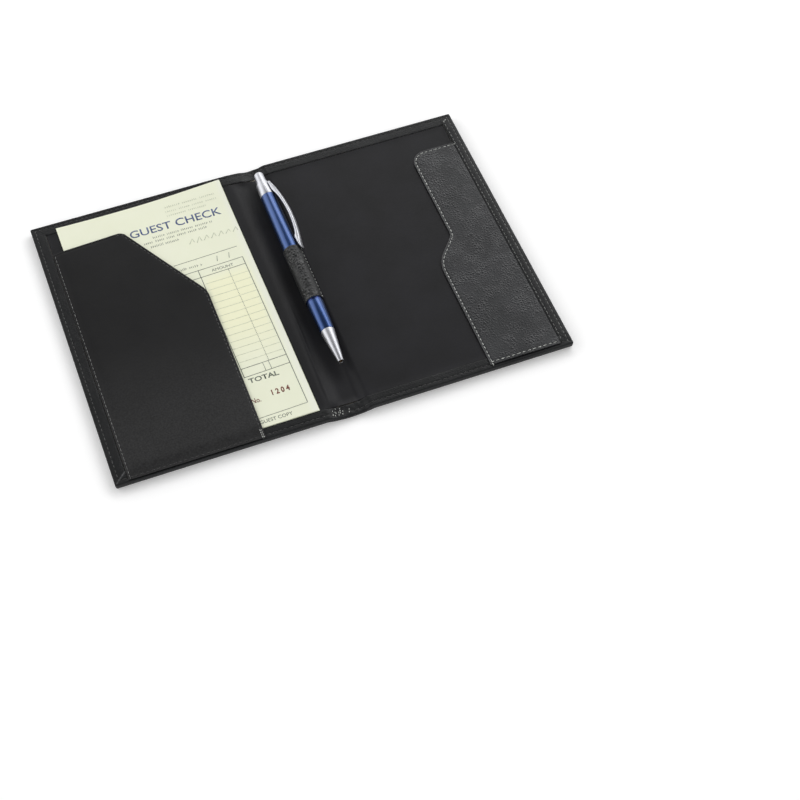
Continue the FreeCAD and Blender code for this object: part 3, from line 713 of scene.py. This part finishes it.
def flap_rows(bottom, top):
    """Places of a flap's rows, closer together near its foot and its head."""
    foot = [0.0, 0.4, 0.9, 1.5, 2.2, 3.0, 4.0, 5.5]
    head = [0.0, 0.1, 0.3, 0.6, 0.9, 1.2, 1.5, 1.9, 2.4, 3.0, 3.8, 4.8, 6.0]
    middle = list(np.linspace(bottom + foot[-1], top - head[-1], 84))[1:-1]
    return np.array([bottom + f for f in foot] + middle + [top - h for h in reversed(head)])


FRONT_FOOT_Y = -90.4
FRONT_FLAP_TOP = 70.3
FRONT_SEAM_X = -121.65
FRONT_OPEN_X = -47.4
BACK_FOOT_Y = -89.5
BACK_FLAP_TOP = 68.4
BACK_SEAM_X = 121.65

front_edge = rounded_outline([
    (FRONT_OPEN_X, FRONT_FOOT_Y, 0.0), (FRONT_OPEN_X, 13.0, 14.0),
    (-80.7, FRONT_FLAP_TOP, 5.0), (FRONT_SEAM_X, FRONT_FLAP_TOP, 0.0)])


def back_edge_outline():
    """Open edge of the back pocket: down from its rounded corner, out below the waist, and down."""
    corner, waist, knee, slope = 9.0, 7.0, 20.0, 11.4
    upper_x, waist_y = 94.1, 5.0
    turn = math.radians(40)
    points = [Vector((BACK_SEAM_X, BACK_FLAP_TOP))]
    for step in range(9):
        a = math.pi / 2 + step * math.pi / 16
        points.append(Vector((upper_x + corner + corner * math.cos(a),
                              BACK_FLAP_TOP - corner + corner * math.sin(a))))
    points.append(Vector((upper_x, waist_y)))
    for step in range(1, 7):
        a = turn * step / 6
        points.append(Vector((upper_x - waist * (1 - math.cos(a)), waist_y - waist * math.sin(a))))
    last = points[-1] + Vector((-math.sin(turn), -math.cos(turn))) * slope
    points.append(last)
    for step in range(1, 9):
        a = turn * (1 - step / 8)
        points.append(Vector((last.x - knee * (math.cos(a) - math.cos(turn)),
                              last.y - knee * (math.sin(turn) - math.sin(a)))))
    points.append(Vector((points[-1].x, BACK_FOOT_Y)))
    return points


back_edge = back_edge_outline()


def front_flap_height(x, y, edge, seam, foot):
    """Top and lightening of the front pocket by the distances from its open edge, its seam and its foot."""
    z = 5.22 + 0.05 * ripple(x, y, 30.0, 40.0, 3.0) * ease(0.0, 12.0, seam)
    z = z - np.maximum(0.72 * ease(5.5, 0.4, seam) ** 1.2, 0.88 * ease(7.5, 1.5, foot))
    z = z + 0.22 * ridge(y, 10.0, 28.0) * ease(16.0, 0.0, edge) * ease(4.0, 12.0, foot)
    z = z - 0.10 * ridge(edge, 1.4, 0.4) - 0.05 * ridge(foot, 1.6, 0.4)
    # Lighter along the seam: a painted highlight on the seam's step; lighter along the folded open edge, and
    # lighter towards the foot.
    rub_and_sheen = 0.10 * ridge(seam, 0.1, 0.3) + 0.15 * ridge(edge, 0.1, 0.4) + 0.13 * ease(5.0, -75.0, y)
    return z, rub_and_sheen


def back_flap_height(x, y, edge, seam, foot):
    """The same for the back pocket."""
    z = 4.68 + 0.05 * ripple(x, y, 16.0, 22.0, 5.0) + 0.10 * ease(3.0, 12.0, edge) * ease(2.0, 9.0, seam)
    z = z - 0.05 * ease(0.9, 0.0, seam)
    z = z - 0.16 * ridge(edge, 1.25, 0.45) - 0.08 * ridge(foot, 1.6, 0.4)
    rub_and_sheen = 0.25 * ridge(edge, 0.1, 0.35)
    return z, rub_and_sheen


# Check: its two sheets and its print

# Foot left, foot right, head left and head right corners of the upper sheet
CHECK_CORNERS = ((-114.1, -84.3), (-15.9, -84.3), (-115.2, 87.2), (-17.4, 89.1))
PAPER_THICKNESS = 0.1
# Level of the print above the paper, and its thickness
INK_LEVEL = 0.035
INK_THICKNESS = 0.02


def check_level(x, y):
    """Top of the upper sheet: nearly flat, its free corner lifting a little."""
    lift = 0.9 * ease(-70.0, -16.0, x) * ease(55.0, 90.0, y) ** 2
    lift = lift + 0.35 * ease(-36.0, -16.0, x) * ridge(y, -20.0, 60.0)
    return 4.5 + lift + 0.03 * ripple(x, y, 30.0, 45.0, 7.0)


def check_sheet(name, drop, shift, material):
    """One sheet, its head edge sagging a little between its corners."""
    u, v = np.meshgrid(np.linspace(0.0, 1.0, 40), np.linspace(0.0, 1.0, 64))
    foot_left, foot_right, head_left, head_right = CHECK_CORNERS
    x, y = (shift[axis] + (1 - v) * ((1 - u) * foot_left[axis] + u * foot_right[axis])
            + v * ((1 - u) * head_left[axis] + u * head_right[axis]) for axis in (0, 1))
    y = y - 1.2 * 4 * u * (1 - u) * ease(0.8, 1.0, v)
    z = check_level(x, y) - drop
    points = np.column_stack([x.ravel(), y.ravel(), z.ravel()])
    item = make_mesh(name, points, grid_faces(*x.shape), material)
    return thicken(item, PAPER_THICKNESS, crease=60)


def lay_on_check(name, points, faces, material):
    """Lays flat print, given in X and Y, on the upper sheet."""
    flat = np.array(points)
    z = check_level(flat[:, 0], flat[:, 1]) + INK_LEVEL
    item = make_mesh(name, np.column_stack([flat, z]), faces, material)
    return thicken(item, INK_THICKNESS)


class Print:
    """Rules and lettering of one ink, collected into one mesh."""

    def __init__(self):
        self.points = []
        self.faces = []

    def rule(self, start, end, width, dash=0.0):
        """Straight rule, in short lengths so that it follows the paper."""
        start, end = Vector(start), Vector(end)
        along = end - start
        side = Vector((-along.y, along.x)).normalized() * width / 2
        step = dash if dash else 4.0
        count = max(1, round(along.length / step))
        for number in range(count):
            first = start + along * (number / count)
            last = start + along * ((number + (0.55 if dash else 1.0)) / count)
            base = len(self.points)
            self.points += [first - side, last - side, last + side, first + side]
            self.faces.append((base, base + 1, base + 2, base + 3))

    def words(self, text, x, y, height, end_x, bold=0.0):
        """Lettering of the given cap height, from x to end_x."""
        data = bpy.data.curves.new("lettering", "FONT")
        data.body = text
        data.size = 1.0
        data.offset = bold
        data.resolution_u = 3
        item = bpy.data.objects.new("lettering", data)
        bpy.context.scene.collection.objects.link(item)
        graph = bpy.context.evaluated_depsgraph_get()
        mesh = bpy.data.meshes.new_from_object(item.evaluated_get(graph))
        flat = np.array([(v.co.x, v.co.y) for v in mesh.vertices])
        bpy.data.objects.remove(item)
        low, high = flat.min(axis=0), flat.max(axis=0)
        tall = height / max(high[1] - low[1], 1e-6)
        wide = (end_x - x) / (high[0] - low[0])
        base = len(self.points)
        for px, py in flat:
            self.points.append(Vector((x + (px - low[0]) * wide, y + (py - low[1]) * tall)))
        for face in mesh.polygons:
            self.faces.append(tuple(base + i for i in face.vertices))

    def scribble(self, x0, x1, y, height, word, gap, seed):
        """A line of small print too fine to read: short strokes in groups of word length."""
        x = x0
        number = 0
        while x < x1:
            number += 1
            wobble = noise.noise(Vector((x * 1.7, y, seed)))
            if number % word:
                tall = height * (0.75 + 0.5 * abs(wobble))
                self.rule((x, y), (x + 0.12 * wobble, y + tall), 0.24)
                if wobble > 0:
                    self.rule((x, y + tall * 0.5), (x + gap * 0.7, y + tall * 0.5), 0.2)
            x += gap * (1.0 + 0.35 * wobble)

    def lay(self, name, material):
        """Lays all that was collected on the check."""
        return lay_on_check(name, [tuple(p) for p in self.points], self.faces, material)


def print_check():
    """Generic print: heading, ruled table, total and number."""
    blue, dark, pale, red = Print(), Print(), Print(), Print()
    blue.words("GUEST CHECK", -77.0, 64.2, 5.5, -23.2, 0.008)
    for x0, x1, y, word in ((-52.5, -23.0, 79.4, 9), (-53.0, -23.0, 76.0, 7), (-53.0, -30.0, 72.9, 11)):
        pale.scribble(x0, x1, y, 1.5, word, 1.15, y)
    for x0, x1, y, word in ((-65.0, -30.0, 60.0, 8), (-71.0, -34.5, 57.1, 6), (-68.0, -50.5, 53.7, 9)):
        dark.scribble(x0, x1, y, 1.7, word, 1.05, y)
    for number, x in enumerate(np.arange(-47.0, -21.0, 4.3)):
        lean = noise.noise(Vector((x, 3.0, 1.0)))
        pale.rule((x, 48.8 + lean), (x + 2.4, 52.2 - lean), 0.35)
        pale.rule((x + 2.4, 52.2 - lean), (x + 3.0, 49.4 + lean), 0.3)
    dark.rule((-60.0, 36.7), (-22.5, 38.1), 0.3)
    dark.scribble(-58.0, -44.6, 31.6, 1.7, 6, 1.05, 9.0)
    for x in (-36.0, -29.0):
        dark.rule((x, 31.6), (x + 0.9, 35.4), 0.3)
    dark.rule((-60.0, 28.4), (-21.8, 29.6), 0.34)
    dark.rule((-56.0, 23.2), (-21.7, 24.4), 0.34)
    dark.words("AMOUNT", -41.0, 25.3, 1.9, -28.4)
    dark.rule((-48.2, 28.8), (-46.4, -50.4), 0.36)
    dark.rule((-32.0, 24.0), (-30.5, -44.5), 0.3, dash=1.1)
    dark.rule((-21.8, 29.6), (-19.9, -77.4), 0.36)
    for number in range(13):
        y = 18.6 - number * 4.85
        pale.rule((-46.9, y - 0.5), (-21.0, y), 0.22)
    dark.rule((-46.7, -44.6), (-20.4, -43.7), 0.36)
    dark.rule((-46.5, -50.4), (-20.3, -49.5), 0.36)
    dark.rule((-34.2, -44.6), (-34.0, -49.9), 0.26)
    dark.rule((-30.9, -44.5), (-30.7, -49.8), 0.26)
    dark.words("TOTAL", -45.0, -55.1, 3.2, -28.2, 0.02)
    red.words("No.", -47.6, -68.2, 3.2, -42.6, 0.01)
    red.words("1 2 0 4", -35.8, -66.6, 3.7, -25.8, 0.03)
    dark.rule((-47.0, -78.2), (-19.9, -77.4), 0.3)
    dark.words("GUEST COPY", -47.6, -82.0, 2.2, -29.6)
    return [blue.lay("check_heading", blue_ink), dark.lay("check_rules", dark_ink),
            pale.lay("check_fine_print", pale_ink), red.lay("check_number", red_ink)]


# Pen and its loop

def pen_place(reach, turn, along):
    """Place at a reach from the pen's axis and a length along it from its tip."""
    return (PEN_X + reach * math.cos(turn), PEN_TIP_Y + along, PEN_Z + reach * math.sin(turn))


def turned_piece(name, profile, material):
    """A piece turned about the pen's axis, from a closed outline of (along, reach, rounding)."""
    steps = 72
    outline = rounded_outline(profile, 4)
    points = []
    for step in range(steps):
        turn = math.tau * step / steps
        points += [pen_place(p.y, turn, p.x) for p in outline]
    size = len(outline)
    faces = []
    for step in range(steps):
        a, b = step * size, (step + 1) % steps * size
        for n in range(size):
            m = (n + 1) % size
            faces.append((a + n, a + m, b + m, b + n))
    item = point_outwards(make_mesh(name, points, faces, material))
    item.data.set_sharp_from_angle(angle=math.radians(40))
    return item


def pen_pieces():
    """The turned pieces of the pen, from its tip up: name, node, outline and material."""
    return [
        ("pen_nose_cone", "pen_cone",
         [(0.0, 1.3, 0.1), (0.0, 1.6, 0.22), (6.0, 2.3, 3.0), (CONE_END, 3.95, 0.18),
          (CONE_END, REFILL_BORE, 0.05), (7.3, REFILL_BORE, 0.05), (7.3, 1.3, 0.05)], satin_chrome),
        ("pen_front_barrel", "pen_lower_barrel",
         [(CONE_END, 4.05, 0.15), (FRONT_END, 4.75, 0.2), (FRONT_END, REFILL_BORE, 0.05),
          (CONE_END, REFILL_BORE, 0.05)], blue_anodised),
        ("pen_joint_ring", "pen_ring",
         [(FRONT_END, 4.5, 0.1), (RING_END, 4.5, 0.1), (RING_END, REFILL_BORE, 0.05),
          (FRONT_END, REFILL_BORE, 0.05)], dark_anodised),
        ("pen_rear_barrel", "pen_upper_barrel",
         [(RING_END, 4.75, 0.2), (79.7, 4.75, 20.0), (REAR_END, 4.46, 0.2),
          (REAR_END, REFILL_BORE, 0.05), (RING_END, REFILL_BORE, 0.05)], blue_anodised),
        ("pen_top_collar", "pen_collar",
         [(REAR_END, 4.36, 0.2), (COLLAR_END, 3.92, 0.3), (COLLAR_END, 3.18, 0.1),
          (REAR_END, 3.18, 0.05)], satin_chrome),
    ]


def push_button():
    """Click button with its rounded crown, closed on the axis."""
    outline = rounded_outline([(128.0, 0.0, 0.0), (128.0, 3.1, 0.1), (COLLAR_END, 3.1, 3.0),
                               (143.5, 2.8, 1.6), (143.5, 0.0, 0.0)], 6)
    steps = 64
    ring = outline[1:-1]
    points = [pen_place(0.0, 0.0, outline[0].x), pen_place(0.0, 0.0, outline[-1].x)]
    for step in range(steps):
        points += [pen_place(p.y, math.tau * step / steps, p.x) for p in ring]
    faces = []
    size = len(ring)
    for step in range(steps):
        a, b = 2 + step * size, 2 + (step + 1) % steps * size
        faces += [(a + n, a + n + 1, b + n + 1, b + n) for n in range(size - 1)]
        faces += [(0, a, b), (1, b + size - 1, a + size - 1)]
    item = point_outwards(make_mesh("pen_push_button", points, faces, satin_chrome))
    item.data.set_sharp_from_angle(angle=math.radians(45))
    return item


def bowed(start, end, bow, at):
    """Height of an arc from start to end that stands off its chord by the bow."""
    share = (at - start[0]) / (end[0] - start[0])
    return start[1] + (end[1] - start[1]) * share + 4 * bow * share * (1 - share)


def spring_clip():
    """Bowed clip: springs from the collar, touches the barrel with its pad and flares to its toe."""
    toe, flare, pad, post, top = 79.3, 83.4, 90.9, 126.8, 133.8
    places = np.concatenate([np.array([79.35, 79.5, 79.8, 80.3, 81.0]), np.linspace(82.0, 132.5, 60),
                             np.array([133.0, 133.4, 133.65, 133.78])])
    outer = np.where(places < flare, np.interp(places, [toe, flare], [6.85, 7.25]),
                     bowed((flare, 7.25), (top, 5.06), 3.15, places))
    lower = eased_curve([toe, 80.0, 87.0, 87.9, 88.7, pad], [6.4, 6.15, 5.02, 4.9, 5.1, 6.25], places)
    inner = np.where(places < pad, lower, bowed((pad, 6.25), (post, 4.28), 2.2, places))
    inner = np.where(places > post, np.interp(places, [post, top], [4.28, 3.97]), inner)
    end = np.sqrt(np.clip(1.0 - np.clip(1.0 - (places - toe) / 1.6, 0.0, 0.98) ** 2, 0.0, 1.0))
    head = np.minimum(1.0, np.sqrt(np.clip((top - places) / 0.8, 0.03, 1.0)))
    half_width = np.interp(places, [toe, 84.0, 92.0, 110.0, 126.0, top],
                           [2.0, 2.1, 1.8, 1.6, 1.9, 2.2]) * end * head
    square = ease(120.0, 127.0, places)
    around = 24
    tilt = math.radians(30)
    points = []
    for place, high, low, wide, share, block in zip(places, outer, inner, half_width, end * head, square):
        middle, half = (high + low) / 2, (high - low) / 2 * (0.35 + 0.65 * share)
        for step in range(around):
            a = math.tau * step / around
            c, s = math.cos(a), math.sin(a)
            across = wide * math.copysign(abs(c) ** (0.6 - 0.3 * block), c)
            reach = middle + half * math.copysign(abs(s) ** (0.8 - 0.4 * block), s)
            points.append((PEN_X + reach * math.cos(tilt) - across * math.sin(tilt), PEN_TIP_Y + place,
                           PEN_Z + reach * math.sin(tilt) + across * math.cos(tilt)))
    faces = tube_faces(len(places), around)
    faces.append(tuple(range(around)))
    faces.append(tuple(range(len(points) - around, len(points)))[::-1])
    return point_outwards(make_mesh("pen_spring_clip", points, faces, satin_chrome))


def strap_reach(turn):
    """Outside of the loop about the pen, with the bead where its two ends are sewn together."""
    bead = math.atan2(LOOP_SEAM_Z - PEN_Z, LOOP_SEAM_X - PEN_X)
    away = math.atan2(math.sin(turn - bead), math.cos(turn - bead))
    return LOOP_REACH + 0.62 * math.exp(-(away / 0.12) ** 2)


def pen_strap():
    """Strap round the pen, its ends slightly opened and its cut edges rounded."""
    steps = 80
    rows = [0.0, 0.12, 0.35] + list(np.linspace(1.0, LOOP_LENGTH - 1.0, 34))
    rows += [LOOP_LENGTH - e for e in (0.35, 0.12, 0.0)]
    points = []
    for bore in (False, True):
        for along in rows:
            edge = min(along, rows[-1] - along)
            trim = 0.22 * (1.0 - min(1.0, edge / 0.35)) ** 2
            for step in range(steps):
                turn = math.tau * step / steps
                c, s = math.cos(turn), math.sin(turn)
                wave = 0.05 * noise.noise(Vector((c * 2, along / 7.0, s * 2)))
                wave += 0.06 * noise.noise(Vector((c * 6, along / 12.0, s * 6)))
                reach = LOOP_BORE + trim * 0.5 if bore else strap_reach(turn) - 0.05 + wave - trim
                points.append((PEN_X + reach * c, LOOP_FOOT_Y + along, PEN_Z + reach * s))
    count = len(rows)
    faces = tube_faces(count, steps) + tube_faces(count, steps, count * steps)
    for row in (0, count - 1):
        for step in range(steps):
            a, b = row * steps + step, row * steps + (step + 1) % steps
            faces.append((a, b, b + count * steps, a + count * steps))
    return point_outwards(make_mesh("pen_strap", points, faces, strap_leatherette))


# Stitches

def stitch_tree():
    """Thread laid along a line: one rounded stitch at every pitch, realized and given its thread."""
    tree = bpy.data.node_groups.new("stitch_line", "GeometryNodeTree")
    sockets = tree.interface
    sockets.new_socket("Line", in_out="INPUT", socket_type="NodeSocketGeometry")
    for label in ("Pitch", "Stitch length", "Thread width"):
        sockets.new_socket(label, in_out="INPUT", socket_type="NodeSocketFloat")
    sockets.new_socket("Thread", in_out="INPUT", socket_type="NodeSocketMaterial")
    sockets.new_socket("Stitches", in_out="OUTPUT", socket_type="NodeSocketGeometry")
    given = add_node(tree, "NodeGroupInput").outputs
    path = add_node(tree, "GeometryNodeMeshToCurve", {"Mesh": given["Line"]})
    holes = add_node(tree, "GeometryNodeCurveToPoints", {
        "Curve": path.outputs[0], "Length": given["Pitch"]}, mode="LENGTH")
    size = add_node(tree, "ShaderNodeCombineXYZ", {
        "X": given["Thread width"], "Y": given["Thread width"], "Z": given["Stitch length"]})
    thread = add_node(tree, "GeometryNodeMeshUVSphere", {"Segments": 8, "Rings": 6, "Radius": 0.5})
    shaped = add_node(tree, "GeometryNodeTransform", {
        "Geometry": thread.outputs[0], "Scale": size.outputs[0]})
    pull = add_node(tree, "FunctionNodeRandomValue", {"Seed": 7}, data_type="FLOAT")
    pull.inputs[2].default_value = 0.86
    pull.inputs[3].default_value = 1.08
    placed = add_node(tree, "GeometryNodeInstanceOnPoints", {
        "Points": holes.outputs["Points"], "Instance": shaped.outputs[0],
        "Rotation": holes.outputs["Rotation"], "Scale": pull.outputs[1]})
    real = add_node(tree, "GeometryNodeRealizeInstances", {0: placed.outputs[0]})
    sewn = add_node(tree, "GeometryNodeSetMaterial", {
        "Geometry": real.outputs[0], "Material": given["Thread"]})
    add_node(tree, "NodeGroupOutput", {0: sewn.outputs[0]})
    return tree


STITCH_TREE = stitch_tree()


def stitches(name, lines, pitch, length, width, thread):
    """Stitches along open lines of points, as one plain mesh."""
    points, edges = [], []
    for line in lines:
        base = len(points)
        points += [tuple(p) for p in line]
        edges += [(base + n, base + n + 1) for n in range(len(line) - 1)]
    mesh = bpy.data.meshes.new(name)
    mesh.from_pydata([tuple(float(c) * MM for c in p) for p in points], edges, [])
    item = bpy.data.objects.new(name, mesh)
    bpy.context.scene.collection.objects.link(item)
    sewing = item.modifiers.new("sewing", "NODES")
    sewing.node_group = STITCH_TREE
    values = {"Pitch": pitch * MM, "Stitch length": length * MM, "Thread width": width * MM, "Thread": thread}
    for socket in STITCH_TREE.interface.items_tree:
        if socket.in_out == "INPUT" and socket.name in values:
            sewing[socket.identifier] = values[socket.name]
    return settle(item, 60)


def sampled(start, end, step=1.0):
    """Places along a straight line, about a step apart."""
    count = max(2, int(math.dist(start, end) / step))
    return [np.array(start) + (np.array(end) - np.array(start)) * n / count for n in range(count + 1)]


def hem_line(side, start, end):
    """A line of stitches along an edge, on the hem above and in the groove below."""
    route = sampled(start, end)
    x = np.array([p[0] for p in route])
    y = np.array([p[1] for p in route])
    upper, lower, _, _ = skin_heights(x, y, side)
    px, py = cover_places(x, y, side)
    top = [(side * a, b, c + 0.06) for a, b, c in zip(px, py, upper)]
    bottom = [(side * a, b, max(c - 0.06, 0.22)) for a, b, c in zip(px, py, lower)]
    return top, bottom


def inset_line(outline, inset):
    """The open edge moved inwards by the inset, as flat places."""
    moved = []
    for n, point in enumerate(outline):
        before = outline[max(n - 1, 0)]
        after = outline[min(n + 1, len(outline) - 1)]
        way = (after - before).normalized()
        moved.append(point + Vector((-way.y, way.x)) * inset)
    line = []
    for start, end in zip(moved[:-1], moved[1:]):
        if (end - start).length > 1e-3:
            line += sampled(tuple(start), tuple(end))[:-1]
    line.append(np.array(tuple(moved[-1])))
    return line


def on_flap(line, height, seam_x, edge, foot_y):
    """Flat places laid on a pocket flap, at the given distance from its open edge."""
    x, y = (np.array([p[axis] for p in line], float) for axis in (0, 1))
    z, _ = height(x, y, np.full(len(x), edge), np.abs(seam_x - x), y - foot_y)
    return [(a, b, c + 0.08) for a, b, c in zip(x, y, z)]


# Pieces on their bodies

def carry(piece, body, slot, *nodes):
    """Sets the body that a piece rides and hides the nodes that it replaces; the slot is not used."""
    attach(piece, body)
    if nodes:
        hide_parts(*nodes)


def cover_with(piece, side, slot, *nodes):
    """Bakes the place of a piece that crosses a fold into its mesh, and hides the nodes that it replaces."""
    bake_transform(piece)
    if nodes:
        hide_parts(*nodes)


def build_covers():
    for label, side in (("back", 1), ("front", -1)):
        skin = cover_skin(f"{label}_padded_cover", side)
        cover_with(skin, side, "leatherette", f"{label}_cover_skin", "spine_skin")
        lining = cover_lining(f"{label}_inside_lining", side)
        cover_with(lining, side, "lining", f"{label}_cover_lining", "spine_lining")
        x_end, y_end = HALF_WIDTH - STITCH_INSET, HALF_LENGTH - STITCH_INSET
        ends = [line for way in (-1, 1) for line in hem_line(side, (0.4, way * y_end), (x_end, way * y_end))]
        edge = list(hem_line(side, (x_end, -y_end), (x_end, y_end)))
        if side > 0:
            edge.append(hem_line(side, (x_end - 3.0, 3.0 - y_end), (x_end - 3.0, y_end - 3.0))[0])
        # The hem is sewn with one thread all round; it is drawn grey along the back cover's free edge, a
        # painted glint where the light catches it, and dark on the rest.
        edge_thread_by_light = grey_thread if side > 0 else dark_thread
        for part, lines, thread in (("end", ends, dark_thread), ("edge", edge, edge_thread_by_light)):
            sewing = stitches(f"{label}_cover_{part}_stitches", lines, 3.0, 2.3, 0.36, thread)
            cover_with(sewing, side, "leatherette")
    # Short pale threads on the crinkled hem at the foot of the spine, drawn as thread ends: painted glints of
    # the crinkles
    glint_tufts = []
    for x, low, high in ((-9.8, -89.4, -86.9), (-8.7, -90.0, -87.6), (-7.9, -88.2, -85.8),
                         (-6.8, -90.1, -88.4), (-5.6, -88.8, -86.2), (-4.6, -89.9, -88.3),
                         (-0.9, -89.7, -88.1)):
        line = sampled((x, low), (x + 0.5, high), 0.4)
        tops = spine_hem_top(np.array([p[0] for p in line]), np.array([p[1] for p in line]))
        glint_tufts.append([(p[0], p[1], z + 0.22) for p, z in zip(line, tops)])
    sewing = stitches("spine_foot_glint_threads", glint_tufts, 1.3, 1.2, 0.34, pale_thread)
    cover_with(sewing, -1, "leatherette")


def build_pockets():
    front = flap("front_pocket_flap", front_edge, FRONT_SEAM_X, flap_rows(FRONT_FOOT_Y, FRONT_FLAP_TOP),
                 front_flap_height, smooth_leatherette, 0.5, drop=1.8)
    carry(front, "front_cover", "smooth_leatherette", "front_pocket")
    back = flap("back_pocket_flap", back_edge, BACK_SEAM_X, flap_rows(BACK_FOOT_Y, BACK_FLAP_TOP),
                back_flap_height, grained_leatherette, 0.42)
    carry(back, "back_cover", "leatherette", "back_pocket")

    def on_back(line, edge):
        return on_flap(line, back_flap_height, BACK_SEAM_X, edge, BACK_FOOT_Y)

    def on_front(line, edge):
        return on_flap(line, front_flap_height, FRONT_SEAM_X, edge, FRONT_FOOT_Y)

    edge = on_back(inset_line(back_edge, 1.25), 1.25)
    foot = on_back([(x, BACK_FOOT_Y + 1.6) for x in np.arange(82.0, 120.0, 1.0)], 20.0)
    sewing = stitches("back_pocket_stitches", [edge, foot], 2.9, 2.1, 0.46, pale_thread)
    carry(sewing, "back_cover", "leatherette")
    edge = on_front(inset_line(front_edge[:-1], 1.4), 1.4)
    seam = on_front([(FRONT_SEAM_X + 1.0, y) for y in np.arange(FRONT_FOOT_Y + 1.5, 67.0, 1.0)], 20.0)
    feet = np.arange(FRONT_SEAM_X + 1.5, FRONT_OPEN_X - 1.0, 1.0)
    foot = on_front([(x, FRONT_FOOT_Y + 1.3) for x in feet], 20.0)
    tack = [on_front([(FRONT_OPEN_X - 0.9 - gap, y) for y in np.arange(-89.6, -85.2, 0.5)], 1.2)
            for gap in (0.0, 0.8)]
    for part, lines, pitch, length, width, thread in (
            ("edge_stitches", [edge, foot], 2.9, 2.0, 0.36, dark_thread),
            ("seam_stitches", [seam], 2.9, 2.6, 0.3, grey_thread),
            ("bar_tack", tack, 1.1, 1.2, 0.4, pale_thread)):
        sewing = stitches(f"front_pocket_{part}", lines, pitch, length, width, thread)
        carry(sewing, "front_cover", "smooth_leatherette")
    # A short pale thread end at the top-right corner: its pale colour is a painted glint on the folded
    # corner.
    corner_glint = [[(123.2, 86.5, 4.42), (124.5, 87.3, 4.42)]]
    sewing = stitches("back_cover_corner_glint", corner_glint, 0.9, 1.0, 0.5, pale_thread)
    carry(sewing, "back_cover", "leatherette")


def build_check():
    for name, node, drop, shift, stock in (
            ("check_upper_sheet", "check_top_copy", 0.0, (0.0, 0.0), check_stock),
            ("check_lower_sheet", "check_under_copy", 0.22, (0.35, -0.25), copy_stock)):
        carry(check_sheet(name, drop, shift, stock), "check", "paper", node)
    for item in print_check():
        carry(item, "check", "paper")


def build_pen():
    for name, node, profile, material in pen_pieces():
        slot = "silver_metal" if material is satin_chrome else "blue_metal"
        carry(turned_piece(name, profile, material), "pen", slot, node)
    carry(push_button(), "button", "silver_metal", "pen_button")
    carry(spring_clip(), "clip", "silver_metal", "pen_clip")
    carry(pen_strap(), "loop", "leatherette", "pen_loop")
    turn, reach = math.radians(12), 5.3
    seam = [(PEN_X + reach * math.cos(turn), y, PEN_Z + reach * math.sin(turn))
            for y in np.arange(LOOP_FOOT_Y + 1.2, LOOP_HEAD_Y - 1.0, 0.8)]
    sewing = stitches("pen_strap_stitches", [seam], 2.4, 1.7, 0.36, pale_thread)
    carry(sewing, "loop", "leatherette")


def dress_cores():
    """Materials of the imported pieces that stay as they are."""
    chosen = {
        "back_cover_foam": open_foam, "front_cover_foam": open_foam,
        "back_cover_board": grey_board, "front_cover_board": grey_board, "spine_stiffener": grey_board,
        "pen_loop_anchor": grained_leatherette, "pen_refill": refill_brass, "pen_refill_tip": refill_brass,
    }
    for name, material in chosen.items():
        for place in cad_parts[name].material_slots:
            place.material = material


build_covers()
build_pockets()
build_check()
build_pen()
dress_cores()
